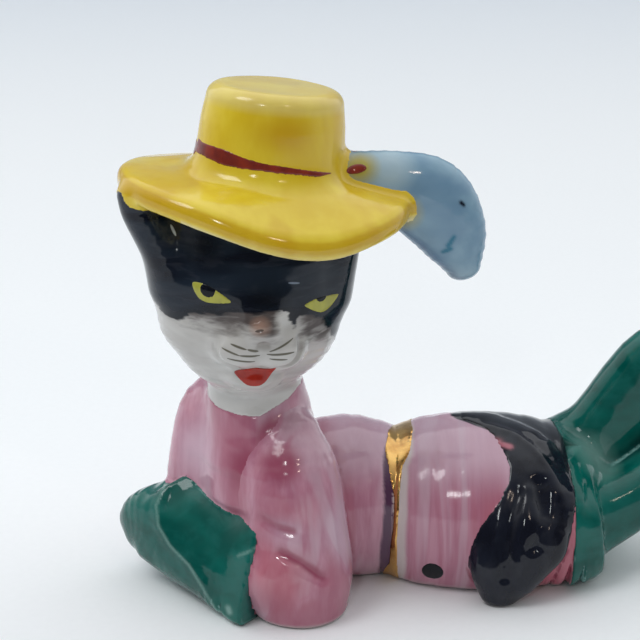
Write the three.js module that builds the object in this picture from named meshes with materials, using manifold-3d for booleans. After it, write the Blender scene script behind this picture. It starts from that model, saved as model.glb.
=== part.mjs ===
// A glazed porcelain cat lying on its belly, in a plumed hat, jacket, gauntlets and thigh boots.
//
// Millimetres, +Z up, and the figure stands on z = 0. The cat's head is at -X and its boots at +X, and its left
// side faces -Y. Each mesh is one casting, or one raised piece of enamel or gilding. Where two castings are stuck
// together, the later one is cut back by the earlier one, with JOINT_GAP left for the slip between them.

import * as THREE from "three";
import { mergeVertices } from "three/addons/utils/BufferGeometryUtils.js";
import Module from "manifold-3d";

const wasm = await Module();
wasm.setup();

// ---- Driving dimensions -------------------------------------------------------------------------------------

const JOINT_GAP = 0.3; // slip between two castings
const WALL = 2.4; // of the hollow castings
const VENT_RADIUS = 2.1; // hole under the body that lets the kiln's gases out
const ENAMEL = 0.5; // height of a raised enamel piece over the glaze
const GILT = 0.6; // height of the belt over the jacket

const WAIST = { x: 12.2, width: 21.5, height: 20.6 }; // the pinched middle of the body
const BELT = { width: 3.2, turn: 7 }; // turn is in degrees, towards the left side
const HIP = { length: 26.8, width: 29, height: 23.2 }; // behind the belt
const BACK = { length: 20.2, width: 25, height: 22.8 }; // from the belt forward to the raised chest
const CHEST = { width: 21, depth: 15.5, height: 31 }; // the upright part, with the neck on top
const CHEST_TURN = 35; // degrees that the chest turns towards the left side

const NECK_RADIUS = 6.6;
const HEAD = { width: 28.8, depth: 24, height: 26 };
const HEAD_TURN = 9; // degrees, looking a little towards the boots
const HEAD_TILT = 6; // degrees, left ear down
const CHIN_RISE = 3.5; // from the top of the chest to the chin

const HAT_OFFSET = { x: 1.1, y: 1.4 }; // from the middle of the head
const CROWN = { radius: 10.9, height: 12.4, taper: 0.85 };
const BRIM = { radius: 21, depth: 17.4, thickness: 3, droop: 2.6, sideDroop: 0.6 };
const BRIM_DIP = { depth: 2.7, at: -74 }; // the lowest part of the brim, at an angle in degrees from +X
const BAND_HEIGHT = 2.2;
const PLUME = { length: 18, width: 9.4, thickness: 7, hang: 12.6 };

const SLEEVE_RADIUS = 7.2;
const GAUNTLET = { depth: 11.4, height: 13.4 };
const BOOT = { cuff: 9.4, shaft: 4.6, reach: 30, heel: 3.1 };
const TAIL_RADIUS = 5.2;

const FLOOR_DEPTH = 60; // of the block that trims the feet of all pieces flat

// ---- Solids -------------------------------------------------------------------------------------------------

const vec = (x, y, z) => new THREE.Vector3(x, y, z);
const radians = THREE.MathUtils.degToRad;

// A point on an oval whose corners are squarer the higher its power.
function ovalPoint(angle, halfWidth, halfHeight, power) {
  const bend = (value) => Math.sign(value) * Math.abs(value) ** (2 / power);
  return [halfWidth * bend(Math.cos(angle)), halfHeight * bend(Math.sin(angle))];
}

// A closed form through oval sections. A section is { at, across, over }: its centre and two half sizes, with
// across measured along `side` as far as the path allows. grow makes it larger all over, for clearances.
function loft(sections, { side = vec(0, 1, 0), sides = 16, steps = 2, power = 2, grow = 0 } = {}) {
  const spine = new THREE.CatmullRomCurve3(sections.map((s) => s.at));
  const sizes = new THREE.CatmullRomCurve3(sections.map((s) => vec(s.across, s.over, 0)));
  const rings = (sections.length - 1) * steps;
  const points = [];
  const faces = [];
  for (let k = 0; k <= rings; k++) {
    const t = k / rings;
    const along = spine.getTangent(t);
    const end = k === 0 ? -grow : k === rings ? grow : 0;
    const centre = spine.getPoint(t).addScaledVector(along, end);
    const across = side.clone().addScaledVector(along, -side.dot(along)).normalize();
    const over = along.clone().cross(across);
    const size = sizes.getPoint(t);
    for (let i = 0; i < sides; i++) {
      const angle = (i / sides) * 2 * Math.PI;
      const [u, v] = ovalPoint(angle, size.x + grow, size.y + grow, power);
      points.push(centre.clone().addScaledVector(across, u).addScaledVector(over, v));
      if (k === rings) continue;
      const next = (i + 1) % sides;
      const [a, b] = [k * sides + i, k * sides + next];
      faces.push(a, b, b + sides, a, b + sides, a + sides);
    }
  }
  for (const [ring, t, sign] of [[0, 0, -1], [rings, 1, 1]]) {
    const size = sizes.getPoint(t);
    const bulge = 0.35 * Math.min(size.x, size.y) + grow;
    points.push(spine.getPoint(t).addScaledVector(spine.getTangent(t), sign * bulge));
    const pole = points.length - 1;
    for (let i = 0; i < sides; i++) {
      const [a, b] = [ring * sides + i, ring * sides + ((i + 1) % sides)];
      faces.push(...(sign < 0 ? [pole, b, a] : [pole, a, b]));
    }
  }
  return new THREE.BufferGeometry().setFromPoints(points).setIndex(faces);
}

// An ellipsoid.
function pebble(centre, halfSizes, grow = 0, sides = 14) {
  const ball = new THREE.SphereGeometry(1, sides, Math.round(sides * 0.6));
  ball.scale(halfSizes.x + grow, halfSizes.y + grow, halfSizes.z + grow);
  return ball.translate(centre.x, centre.y, centre.z);
}

function block(low, high) {
  const size = high.clone().sub(low);
  const middle = low.clone().addScaledVector(size, 0.5);
  return new THREE.BoxGeometry(size.x, size.y, size.z).translate(middle.x, middle.y, middle.z);
}

// A closed geometry as a solid that can be cut and joined.
function solid(geometry) {
  const bare = new THREE.BufferGeometry().setAttribute("position", geometry.getAttribute("position").clone());
  if (geometry.index) bare.setIndex(geometry.index.clone());
  const merged = mergeVertices(bare, 1e-4);
  return new wasm.Manifold(
    new wasm.Mesh({
      numProp: 3,
      vertProperties: new Float32Array(merged.attributes.position.array),
      triVerts: new Uint32Array(merged.index.array),
    }),
  );
}

function geometryOf(shape) {
  const mesh = shape.getMesh();
  const made = new THREE.BufferGeometry();
  made.setAttribute("position", new THREE.BufferAttribute(new Float32Array(mesh.vertProperties), 3));
  made.setIndex(new THREE.BufferAttribute(new Uint32Array(mesh.triVerts), 1));
  made.computeVertexNormals();
  return made;
}

const cut = (shape, ...geometries) => geometries.reduce((left, g) => left.subtract(solid(g)), shape);
const keep = (shape, geometry) => shape.intersect(solid(geometry));

// ---- Glazes -------------------------------------------------------------------------------------------------

const glaze = (color, roughness = 0.12, metalness = 0) =>
  new THREE.MeshStandardMaterial({ color, roughness, metalness });
const GLAZES = {
  yellow: glaze(0xe3bf2c),
  brown_red: glaze(0x7f3128),
  pale_blue: glaze(0x7d9fb4),
  black: glaze(0x14151c, 0.1),
  white: glaze(0xd9d7d3),
  eye_green: glaze(0xa8a34a),
  mouth_red: glaze(0xa8281c),
  pink: glaze(0xb57488, 0.15),
  green: glaze(0x0a5a4c, 0.1),
  gold: glaze(0xb98a35, 0.22, 1),
};

function piece(name, colour, shape) {
  const mesh = new THREE.Mesh(geometryOf(shape), GLAZES[colour]);
  mesh.name = name;
  return mesh;
}

// ---- The armature: the points that the forms pass through ---------------------------------------------------

const waist = vec(WAIST.x, 0.5, WAIST.height * 0.44);
const hip = vec(WAIST.x + HIP.length * 0.5, 0, HIP.height * 0.4);
const rump = vec(WAIST.x + HIP.length, 1.5, HIP.height * 0.36);
const back = vec(WAIST.x - BACK.length * 0.38, 0.5, BACK.height * 0.46);

// The chest stands at the end of the back. front is the way it faces and flank the way to its left shoulder.
const front = vec(-1, 0, 0).applyAxisAngle(vec(0, 0, 1), radians(CHEST_TURN));
const flank = vec(0, 0, 1).cross(front);
const chest = vec(WAIST.x - BACK.length, -5.5, 0);
const onChest = (forward, toLeft, up) =>
  chest.clone().addScaledVector(front, forward).addScaledVector(flank, toLeft).setZ(up);

const neck = vec(chest.x - 1.6, chest.y - 2, CHEST.height);
const headCentre = vec(neck.x, neck.y - 0.6, CHEST.height + CHIN_RISE + HEAD.height / 2);

const leftShoulder = onChest(0.6, CHEST.width * 0.36, CHEST.height - 4);
const rightShoulder = onChest(1, -CHEST.width * 0.34, CHEST.height - 4.5);
const leftElbow = onChest(1.8, CHEST.width * 0.56, SLEEVE_RADIUS * 0.86);
const cuffPlace = CHEST.width * 0.5; // where the left gauntlet's cuff is, towards the left
const leftWrist = onChest(GAUNTLET.depth * 0.56, cuffPlace, GAUNTLET.height * 0.46);
const rightWrist = onChest(5.6, -CHEST.width * 0.36, CHEST.height * 0.5);

const leftKnee = vec(rump.x + 1.5, rump.y - 7.5, BOOT.cuff * 0.82);
const rightKnee = vec(rump.x + 1, rump.y + 5, BOOT.cuff * 1.22);

// ---- Body ---------------------------------------------------------------------------------------------------

const floor = block(vec(-200, -200, -FLOOR_DEPTH), vec(200, 200, 0));
const atBelt = (geometry) => geometry.rotateZ(radians(-BELT.turn)).translate(WAIST.x, 0, 0);
const afterBelt = atBelt(block(vec(0, -100, -100), vec(200, 100, 200)));
const beforeBelt = atBelt(block(vec(-200, -100, -100), vec(0, 100, 200)));

const bodySections = [
  { at: vec(neck.x + 0.4, neck.y + 0.8, CHEST.height - 0.5), across: CHEST.width * 0.34, over: CHEST.depth * 0.42 },
  { at: onChest(1.2, 0, CHEST.height * 0.86), across: CHEST.width * 0.47, over: CHEST.depth * 0.5 },
  { at: onChest(1.6, 0, CHEST.height * 0.58), across: CHEST.width * 0.54, over: CHEST.depth * 0.56 },
  { at: vec(chest.x + 5, chest.y + 3.2, BACK.height * 0.5), across: BACK.width * 0.5, over: BACK.height * 0.47 },
  { at: back, across: BACK.width * 0.5, over: BACK.height * 0.54 },
  { at: waist, across: WAIST.width * 0.5, over: WAIST.height * 0.55 },
  { at: vec(waist.x + HIP.length * 0.2, 0.2, hip.z), across: HIP.width * 0.47, over: HIP.height * 0.57 },
  { at: hip, across: HIP.width * 0.5, over: HIP.height * 0.6 },
  { at: vec(hip.x + HIP.length * 0.3, 0.6, hip.z - 0.3), across: HIP.width * 0.46, over: HIP.height * 0.55 },
  { at: rump, across: HIP.width * 0.34, over: HIP.height * 0.4 },
];
const bodyForm = (grow = 0) =>
  loft(bodySections, { side: flank.clone().lerp(vec(0, -1, 0), 0.5), sides: 20, power: 2.2, grow });

// The inside of the two body castings, which stops a wall's thickness over the floor.
const bodyHollow = () => keep(solid(bodyForm(-WALL)), block(vec(-200, -200, WALL), vec(200, 200, 200)));

function jacketFront() {
  const vent = new THREE.CylinderGeometry(VENT_RADIUS, VENT_RADIUS, 4 * WALL, 16).rotateX(Math.PI / 2);
  const shell = keep(solid(bodyForm()).subtract(bodyHollow()), beforeBelt);
  return cut(shell, vent.translate(back.x, back.y, 0), floor, neckForm(JOINT_GAP));
}

function jacketSkirt() {
  const shell = keep(solid(bodyForm()).subtract(bodyHollow()), afterBelt.clone().translate(JOINT_GAP, 0, 0));
  return cut(shell, floor);
}

// The belt is a raised band, laid over the joint between the front and the skirt.
function belt() {
  const slab = atBelt(block(vec(-BELT.width / 2, -100, 0), vec(BELT.width / 2, 100, 100)));
  return cut(keep(solid(bodyForm(JOINT_GAP + GILT)), slab), bodyForm(JOINT_GAP));
}

const HIP_SPOT_RADIUS = 1.7;
const spotPlace = vec(waist.x + HIP.length * 0.2, -HIP.width * 0.5, 3.4);
function hipSpot() {
  const rod = new THREE.CylinderGeometry(HIP_SPOT_RADIUS, HIP_SPOT_RADIUS, 14, 14).translate(...spotPlace);
  return cut(keep(solid(bodyForm(JOINT_GAP + ENAMEL)), rod), bodyForm(JOINT_GAP));
}

// ---- Arms ---------------------------------------------------------------------------------------------------
// Each gauntlet is a thick slab, listed from the cuff to the hand: forward, left and up from the chest, then its
// half length and half thickness as shares of GAUNTLET.height and GAUNTLET.depth.
const gauntletSections = (list) =>
  list.map(([forward, left, up, length, thickness]) => ({
    at: onChest(forward, left, up),
    across: GAUNTLET.height * length,
    over: GAUNTLET.depth * thickness,
  }));
const leftGauntletForm = (grow = 0) =>
  loft(
    gauntletSections([
      [8.2, 9.5, 7.5, 0.55, 0.29],
      [9.6, 6.0, 8.1, 0.47, 0.28],
      [9.8, 2.9, 8.9, 0.43, 0.29],
      [10.8, -3.2, 11.0, 0.37, 0.29],
      [11.3, -7.8, 14.2, 0.27, 0.25],
    ]),
    { side: vec(-0.41, -0.05, -0.91), sides: 14, power: 2.8, grow },
  );
const rightGauntletForm = (grow = 0) =>
  loft(
    gauntletSections([
      [9.8, 3.5, 4.2, 0.30, 0.32],
      [11.7, -3.3, 6.2, 0.45, 0.37],
      [13.4, -8.8, 8.0, 0.51, 0.39],
      [15.0, -12.7, 7.4, 0.35, 0.31],
      [15.9, -14.3, 6.8, 0.19, 0.20],
    ]),
    { side: vec(-0.2, 0.2, 0.95), sides: 14, power: 2.4, grow },
  );

const leftArmForms = () => [
  loft(
    [
      { at: leftShoulder, across: SLEEVE_RADIUS * 0.6, over: SLEEVE_RADIUS * 0.55 },
      { at: onChest(2, CHEST.width * 0.42, CHEST.height * 0.68), across: SLEEVE_RADIUS, over: SLEEVE_RADIUS },
      { at: leftElbow, across: SLEEVE_RADIUS * 1.04, over: SLEEVE_RADIUS * 1.04 },
      { at: leftElbow.clone().setZ(0.6), across: SLEEVE_RADIUS * 0.74, over: SLEEVE_RADIUS * 0.74 },
    ],
    { side: flank, steps: 3 },
  ),
  loft(
    [
      { at: leftElbow, across: SLEEVE_RADIUS * 0.84, over: SLEEVE_RADIUS * 0.84 },
      { at: leftWrist, across: SLEEVE_RADIUS * 0.76, over: SLEEVE_RADIUS * 0.76 },
    ],
    { side: vec(0, 0, 1) },
  ),
];

const rightArmForm = () =>
  loft(
    [
      { at: rightShoulder, across: SLEEVE_RADIUS * 0.75, over: SLEEVE_RADIUS * 0.7 },
      { at: onChest(2.8, -CHEST.width * 0.37, CHEST.height * 0.76), across: SLEEVE_RADIUS, over: SLEEVE_RADIUS },
      { at: rightWrist, across: SLEEVE_RADIUS * 0.92, over: SLEEVE_RADIUS * 0.9 },
      { at: onChest(7, -CHEST.width * 0.4, CHEST.height * 0.34), across: SLEEVE_RADIUS * 0.7, over: SLEEVE_RADIUS * 0.7 },
    ],
    { side: flank, steps: 3 },
  );

// A sleeve stops where it meets the chest, the neck and the gauntlets.
function sleeve(...forms) {
  const arm = forms.map(solid).reduce((all, next) => all.add(next));
  return cut(arm, ...[bodyForm, neckForm, leftGauntletForm, rightGauntletForm].map((form) => form(JOINT_GAP)), floor);
}

// ---- Head, in its own frame: its centre is the origin and it looks along -Y --------------------------------

const neckForm = (grow = 0) =>
  loft(
    [
      { at: vec(neck.x + 0.6, neck.y + 1, CHEST.height - 6), across: NECK_RADIUS * 0.8, over: NECK_RADIUS * 0.8 },
      { at: neck, across: NECK_RADIUS, over: NECK_RADIUS * 1.05 },
      { at: vec(neck.x, neck.y - 0.5, CHEST.height + CHIN_RISE + 4), across: NECK_RADIUS, over: NECK_RADIUS },
    ],
    { side: vec(1, 0, 0), steps: 3, grow },
  );

const headForm = (grow = 0) =>
  loft(
    [
      { at: vec(0, -0.8, -HEAD.height * 0.48), across: HEAD.width * 0.19, over: HEAD.depth * 0.28 },
      { at: vec(0, -0.8, -HEAD.height * 0.39), across: HEAD.width * 0.33, over: HEAD.depth * 0.38 },
      { at: vec(0, -0.4, -HEAD.height * 0.24), across: HEAD.width * 0.46, over: HEAD.depth * 0.46 },
      { at: vec(0, 0, 0), across: HEAD.width * 0.49, over: HEAD.depth * 0.5 },
      { at: vec(0, 0.4, HEAD.height * 0.24), across: HEAD.width * 0.465, over: HEAD.depth * 0.49 },
      { at: vec(0, 0.8, HEAD.height * 0.46), across: HEAD.width * 0.42, over: HEAD.depth * 0.44 },
    ],
    { side: vec(1, 0, 0), sides: 20, grow },
  );

const MUZZLE = { x: 5.4, y: 4.2, z: 3.7 }; // half sizes
const muzzlePlace = vec(0.4, -HEAD.depth * 0.44, -HEAD.height * 0.17);
const muzzleForm = (grow = 0) => pebble(muzzlePlace, vec(MUZZLE.x, MUZZLE.y, MUZZLE.z), grow);
const mouthPlace = vec(0, -HEAD.depth * 0.42, -HEAD.height * 0.365);
const nosePlace = vec(0.4, muzzlePlace.y - MUZZLE.y * 0.62, muzzlePlace.z + MUZZLE.z * 0.9);
const noseForm = (grow = 0) => pebble(nosePlace, vec(1.7, 1.7, 1.3), grow, 10);

function head() {
  const opening = new THREE.CylinderGeometry(NECK_RADIUS - WALL, NECK_RADIUS - WALL, HEAD.height, 14)
    .rotateX(Math.PI / 2)
    .translate(0, 0.6, -HEAD.height / 2);
  return cut(solid(headForm()), headForm(-WALL), opening);
}

// An almond of enamel, laid on the front of the head.
const EYE = { length: 5.6, height: 2.6, apart: 15.8, rise: 2.6, slant: 24 };
function eye(sign) {
  const half = EYE.length / 2;
  const almond = new THREE.Shape();
  almond.moveTo(-half, 0);
  almond.quadraticCurveTo(0, EYE.height, half, 0);
  almond.quadraticCurveTo(0, -EYE.height, -half, 0);
  const prism = new THREE.ExtrudeGeometry(almond, { depth: HEAD.depth, bevelEnabled: false, curveSegments: 6 })
    .rotateX(Math.PI / 2)
    .rotateY(radians(sign * -EYE.slant))
    .translate((sign * EYE.apart) / 2, 0, EYE.rise);
  return cut(keep(solid(headForm(JOINT_GAP + ENAMEL)), prism), headForm(JOINT_GAP));
}

const MOUTH = { width: 5.6, height: 3.2 };
function mouth() {
  const lips = new THREE.Shape();
  lips.moveTo(-MOUTH.width / 2, MOUTH.height * 0.15);
  lips.quadraticCurveTo(0, MOUTH.height * 0.75, MOUTH.width / 2, MOUTH.height * 0.35);
  lips.quadraticCurveTo(MOUTH.width * 0.2, -MOUTH.height * 0.6, 0, -MOUTH.height * 0.5);
  lips.quadraticCurveTo(-MOUTH.width * 0.3, -MOUTH.height * 0.5, -MOUTH.width / 2, MOUTH.height * 0.15);
  const prism = new THREE.ExtrudeGeometry(lips, { depth: HEAD.depth, bevelEnabled: false, curveSegments: 5 })
    .rotateX(Math.PI / 2)
    .translate(mouthPlace.x, 0, mouthPlace.z);
  const raised = keep(solid(headForm(JOINT_GAP + 1.6 * ENAMEL)), prism);
  return cut(raised, headForm(JOINT_GAP), muzzleForm(JOINT_GAP));
}

// spread is how far the ear leans out towards the edge of the hat, as a share of the head's width.
const earForm = (sign, spread, grow = 0) =>
  loft(
    [
      { at: vec(sign * HEAD.width * 0.38, -1, HEAD.height * 0.04), across: 3.4, over: 4.8 },
      { at: vec(sign * HEAD.width * (0.41 + spread * 0.4), -1.2, HEAD.height * 0.25), across: 3.1, over: 4.6 },
      { at: vec(sign * HEAD.width * (0.43 + spread), -1.6, HEAD.height * 0.44), across: 2.6, over: 3.2 },
    ],
    { side: vec(1, 0, 0), sides: 10, steps: 2, grow },
  );
const LEFT_EAR_SPREAD = 0.01;
const RIGHT_EAR_SPREAD = 0.155;

// ---- Hat, in the head's frame -------------------------------------------------------------------------------

const crownFoot = HEAD.height * 0.646; // height of the crown's foot over the head's centre

// Height of the brim's middle surface at a share of its radius: it droops most in front and least at the sides.
function brimHeight(share, angle) {
  const away = Math.max(0, share - 0.5) / 0.5;
  const dip = BRIM_DIP.depth * Math.max(0, Math.cos(angle - radians(BRIM_DIP.at))) ** 3;
  const droop = THREE.MathUtils.lerp(BRIM.sideDroop, BRIM.droop, Math.sin(angle) ** 2);
  return crownFoot - BRIM.thickness / 2 - (droop + dip) * away ** 1.35;
}

// A warped disc with a rounded rim, and a hole under the crown.
function brimForm(grow = 0) {
  const sides = 32;
  const hole = (CROWN.radius - WALL) / BRIM.radius;
  const shares = [hole, 0.52, 0.66, 0.8, 0.92, 1];
  const thick = [1, 1.05, 1, 0.95, 0.8, 0].map((share) => share * (BRIM.thickness / 2) + grow);
  const outline = [
    ...shares.map((share, i) => [share + (i === 5 ? grow / BRIM.radius : 0), i === 5 ? 0 : thick[i]]),
    ...shares.slice(0, 5).map((share, i) => [share, -thick[i]]).reverse(),
  ];
  outline[0][0] = outline[10][0] = hole - grow / BRIM.radius;
  const points = [];
  const faces = [];
  for (let i = 0; i < sides; i++) {
    const angle = (i / sides) * 2 * Math.PI;
    const ring = outline.length;
    const next = ((i + 1) % sides) * ring;
    outline.forEach(([share, lift], k) => {
      const height = brimHeight(share, angle) + lift;
      points.push(vec(share * BRIM.radius * Math.cos(angle), share * BRIM.depth * Math.sin(angle), height));
      const [a, b] = [i * ring + k, i * ring + ((k + 1) % ring)];
      faces.push(a, b, next + ((k + 1) % ring), a, next + ((k + 1) % ring), next + k);
    });
  }
  return new THREE.BufferGeometry().setFromPoints(points).setIndex(faces).translate(HAT_OFFSET.x, HAT_OFFSET.y, 0);
}

const ovalRatio = BRIM.depth / BRIM.radius;
function crownForm(grow = 0) {
  const r = CROWN.radius + grow;
  const top = crownFoot + CROWN.height + grow;
  const profile = [
    [0, crownFoot - BRIM.thickness * 0.5 - grow],
    [r * 1.02, crownFoot - BRIM.thickness * 0.5 - grow],
    [r * 1.02, crownFoot + BAND_HEIGHT * 0.4],
    [r * 0.96, crownFoot + BAND_HEIGHT * 1.4],
    [r * 0.93, crownFoot + CROWN.height * 0.6],
    [r * CROWN.taper, top - 1.4],
    [r * (CROWN.taper - 0.1), top - 0.2],
    [r * 0.5, top],
    [0, top],
  ].map(([x, y]) => new THREE.Vector2(x, y));
  const turned = new THREE.LatheGeometry(profile, 24).rotateX(Math.PI / 2).scale(1, ovalRatio, 1);
  return turned.translate(HAT_OFFSET.x, HAT_OFFSET.y, 0);
}

function hatCrown() {
  const height = CROWN.height + BRIM.thickness - WALL;
  const [foot, top] = [CROWN.radius - WALL, CROWN.radius * CROWN.taper - WALL];
  const hollow = new THREE.CylinderGeometry(top, foot, height, 20).rotateX(Math.PI / 2).scale(1, ovalRatio, 1);
  hollow.translate(HAT_OFFSET.x, HAT_OFFSET.y, crownFoot + CROWN.height - WALL - height / 2);
  return cut(solid(crownForm()), hollow, headForm(JOINT_GAP));
}

function hatBand() {
  const low = crownFoot + 0.2;
  const slab = block(vec(-100, -100, low), vec(100, 100, low + BAND_HEIGHT));
  return cut(keep(solid(crownForm(JOINT_GAP + ENAMEL)), slab), crownForm(JOINT_GAP), brimForm(JOINT_GAP));
}

const plumeRoot = vec(CROWN.radius + HAT_OFFSET.x, HAT_OFFSET.y - 1, crownFoot + 1.2);
const alongPlume = (out, down) => plumeRoot.clone().add(vec(PLUME.length * out, -out, -PLUME.hang * down));
const plumeForm = (grow = 0) =>
  loft(
    [
      { at: alongPlume(0, 0), across: PLUME.thickness * 0.4, over: PLUME.width * 0.26 },
      { at: alongPlume(0.34, 0.1), across: PLUME.thickness * 0.48, over: PLUME.width * 0.5 },
      { at: alongPlume(0.68, 0.27), across: PLUME.thickness * 0.5, over: PLUME.width * 0.63 },
      { at: alongPlume(0.91, 0.65), across: PLUME.thickness * 0.48, over: PLUME.width * 0.52 },
      { at: alongPlume(1.03, 1.02), across: PLUME.thickness * 0.34, over: PLUME.width * 0.28 },
    ],
    { side: vec(0, 1, 0), sides: 12, steps: 3, grow },
  );

const knotPlace = vec(CROWN.radius * 0.98 + HAT_OFFSET.x, HAT_OFFSET.y - CROWN.radius * 0.48, crownFoot + 0.8);
const knotForm = (grow = 0) => pebble(knotPlace, vec(2, 1.3, 0.9), grow, 8);

// ---- Tail and boots -----------------------------------------------------------------------------------------

const tailSections = [
  { at: vec(rump.x - 6, 9.4, HIP.height * 0.52), across: TAIL_RADIUS * 0.5, over: TAIL_RADIUS * 0.45 },
  { at: vec(hip.x - 2.5, 7, HIP.height * 0.83), across: TAIL_RADIUS * 0.55, over: TAIL_RADIUS * 0.4 },
  { at: vec(hip.x + 0.5, 1.5, HIP.height * 0.94), across: TAIL_RADIUS * 0.62, over: TAIL_RADIUS * 0.36 },
  { at: vec(hip.x + 5.2, -6, HIP.height * 0.86), across: TAIL_RADIUS * 0.85, over: TAIL_RADIUS * 0.46 },
  { at: vec(hip.x + 6.2, -11.8, HIP.height * 0.58), across: TAIL_RADIUS * 1.08, over: TAIL_RADIUS * 0.6 },
  { at: vec(hip.x + 3.6, -14.2, HIP.height * 0.28), across: TAIL_RADIUS * 1.22, over: TAIL_RADIUS * 0.56 },
  { at: vec(hip.x + 1.2, -14.8, 1.6), across: TAIL_RADIUS * 0.6, over: TAIL_RADIUS * 0.44 },
];
const tailForm = (grow = 0) => loft(tailSections, { side: vec(1, 0, 0), sides: 14, grow });

const leftCuffForm = (grow = 0) =>
  loft(
    [
      { at: leftKnee.clone().add(vec(-6.5, 0.6, 1.6)), across: BOOT.cuff * 0.86, over: BOOT.cuff * 0.96 },
      { at: leftKnee.clone().add(vec(-2, 0.2, 0.2)), across: BOOT.cuff * 0.84, over: BOOT.cuff * 0.92 },
      { at: leftKnee.clone().add(vec(2.6, 0.4, 0)), across: BOOT.cuff * 0.7, over: BOOT.cuff * 0.8 },
    ],
    { side: vec(0, 1, 0), steps: 3, power: 2.2, grow },
  );

const rightCuffForm = (grow = 0) =>
  loft(
    [
      { at: rightKnee.clone().add(vec(-6, 0, -3.4)), across: BOOT.cuff * 0.8, over: BOOT.cuff * 0.96 },
      { at: rightKnee.clone().add(vec(-2, 0, -1.2)), across: BOOT.cuff * 0.8, over: BOOT.cuff * 0.94 },
      { at: rightKnee.clone().add(vec(1.6, 0, 2.4)), across: BOOT.cuff * 0.66, over: BOOT.cuff * 0.8 },
    ],
    { side: vec(0, 1, 0), steps: 3, power: 2.2, grow },
  );

// The left shin lies low. The right one rises behind it, and its foot comes down on the left foot.
const leftAnkle = leftKnee.clone().add(vec(BOOT.reach * 0.5, 6.6, BOOT.reach * 0.27));
const leftToe = leftKnee.clone().add(vec(BOOT.reach * 0.86, 7.2, BOOT.reach * 0.44));
const leftBootForm = (grow = 0) =>
  loft(
    [
      { at: leftKnee.clone().add(vec(-1, 1, 0.4)), across: BOOT.shaft * 1.1, over: BOOT.shaft * 1.3 },
      { at: leftKnee.clone().lerp(leftAnkle, 0.45), across: BOOT.shaft, over: BOOT.shaft * 1.04 },
      { at: leftAnkle, across: BOOT.shaft * 0.95, over: BOOT.shaft },
      { at: leftAnkle.clone().lerp(leftToe, 0.6), across: BOOT.shaft * 0.86, over: BOOT.shaft * 0.8 },
      { at: leftToe, across: BOOT.shaft * 0.56, over: BOOT.shaft * 0.5 },
    ],
    { side: vec(0, 1, 0), sides: 14, grow },
  );

const rightAnkle = rightKnee.clone().add(vec(BOOT.reach * 0.42, -1.4, BOOT.reach * 0.68));
const rightToe = leftToe.clone().add(vec(0, -2, BOOT.shaft * 1.3));
const rightBootForm = (grow = 0) =>
  loft(
    [
      { at: rightKnee.clone().add(vec(-0.5, 0, 1)), across: BOOT.shaft * 1.4, over: BOOT.shaft * 1.5 },
      { at: rightKnee.clone().lerp(rightAnkle, 0.4), across: BOOT.shaft * 1.2, over: BOOT.shaft * 1.32 },
      { at: rightAnkle, across: BOOT.shaft, over: BOOT.shaft * 1.12 },
      { at: rightAnkle.clone().lerp(rightToe, 0.5).add(vec(2.2, 0, 2)), across: BOOT.shaft * 0.9, over: BOOT.shaft * 0.86 },
      { at: rightToe, across: BOOT.shaft * 0.58, over: BOOT.shaft * 0.5 },
    ],
    { side: vec(0, 1, 0), sides: 14, steps: 3, grow },
  );

// A heel is a short tapered block under the back of a foot.
function heelForm(foot, away, grow = 0) {
  const tip = foot.clone().addScaledVector(away, BOOT.shaft + BOOT.heel * 0.8);
  return loft(
    [
      { at: foot, across: BOOT.heel * 0.8 + grow, over: BOOT.heel * 0.8 + grow },
      { at: tip, across: BOOT.heel * 0.62 + grow, over: BOOT.heel * 0.66 + grow },
    ],
    { side: vec(0, 1, 0), sides: 12, steps: 2, power: 3 },
  );
}
const leftHeelForm = (grow = 0) => heelForm(leftAnkle, vec(0.62, 0.15, -0.76).normalize(), grow);
const rightHeelForm = (grow = 0) => heelForm(rightAnkle, vec(0.1, 0, 0.99).normalize(), grow);

// ---- Assembly -----------------------------------------------------------------------------------------------

const headGroup = new THREE.Group();
headGroup.rotation.set(0, radians(HEAD_TILT), radians(HEAD_TURN), "ZYX");
headGroup.position.copy(headCentre);
headGroup.updateMatrix();

headGroup.add(
  piece("head", "white", head()),
  piece("muzzle", "white", cut(solid(muzzleForm()), headForm(JOINT_GAP))),
  piece("nose", "white", cut(solid(noseForm()), headForm(JOINT_GAP), muzzleForm(JOINT_GAP))),
  piece("mouth", "mouth_red", mouth()),
  piece("left_eye", "eye_green", eye(1)),
  piece("right_eye", "eye_green", eye(-1)),
  piece("hat_brim", "yellow", cut(solid(brimForm()), headForm(JOINT_GAP), crownForm(JOINT_GAP))),
  piece("hat_crown", "yellow", hatCrown()),
  piece("hat_band", "brown_red", cut(hatBand(), plumeForm(JOINT_GAP))),
  piece("band_knot", "brown_red", cut(solid(knotForm()), crownForm(2 * JOINT_GAP + ENAMEL), brimForm(JOINT_GAP), plumeForm(JOINT_GAP))),
  piece("plume", "pale_blue", cut(solid(plumeForm()), crownForm(JOINT_GAP), brimForm(JOINT_GAP))),
  piece("left_ear", "black", cut(solid(earForm(1, LEFT_EAR_SPREAD)), headForm(JOINT_GAP), brimForm(JOINT_GAP))),
  piece("right_ear", "black", cut(solid(earForm(-1, RIGHT_EAR_SPREAD)), headForm(JOINT_GAP), brimForm(JOINT_GAP))),
);

const headHere = (grow) => headForm(grow).applyMatrix4(headGroup.matrix);
const gap = JOINT_GAP;

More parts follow.
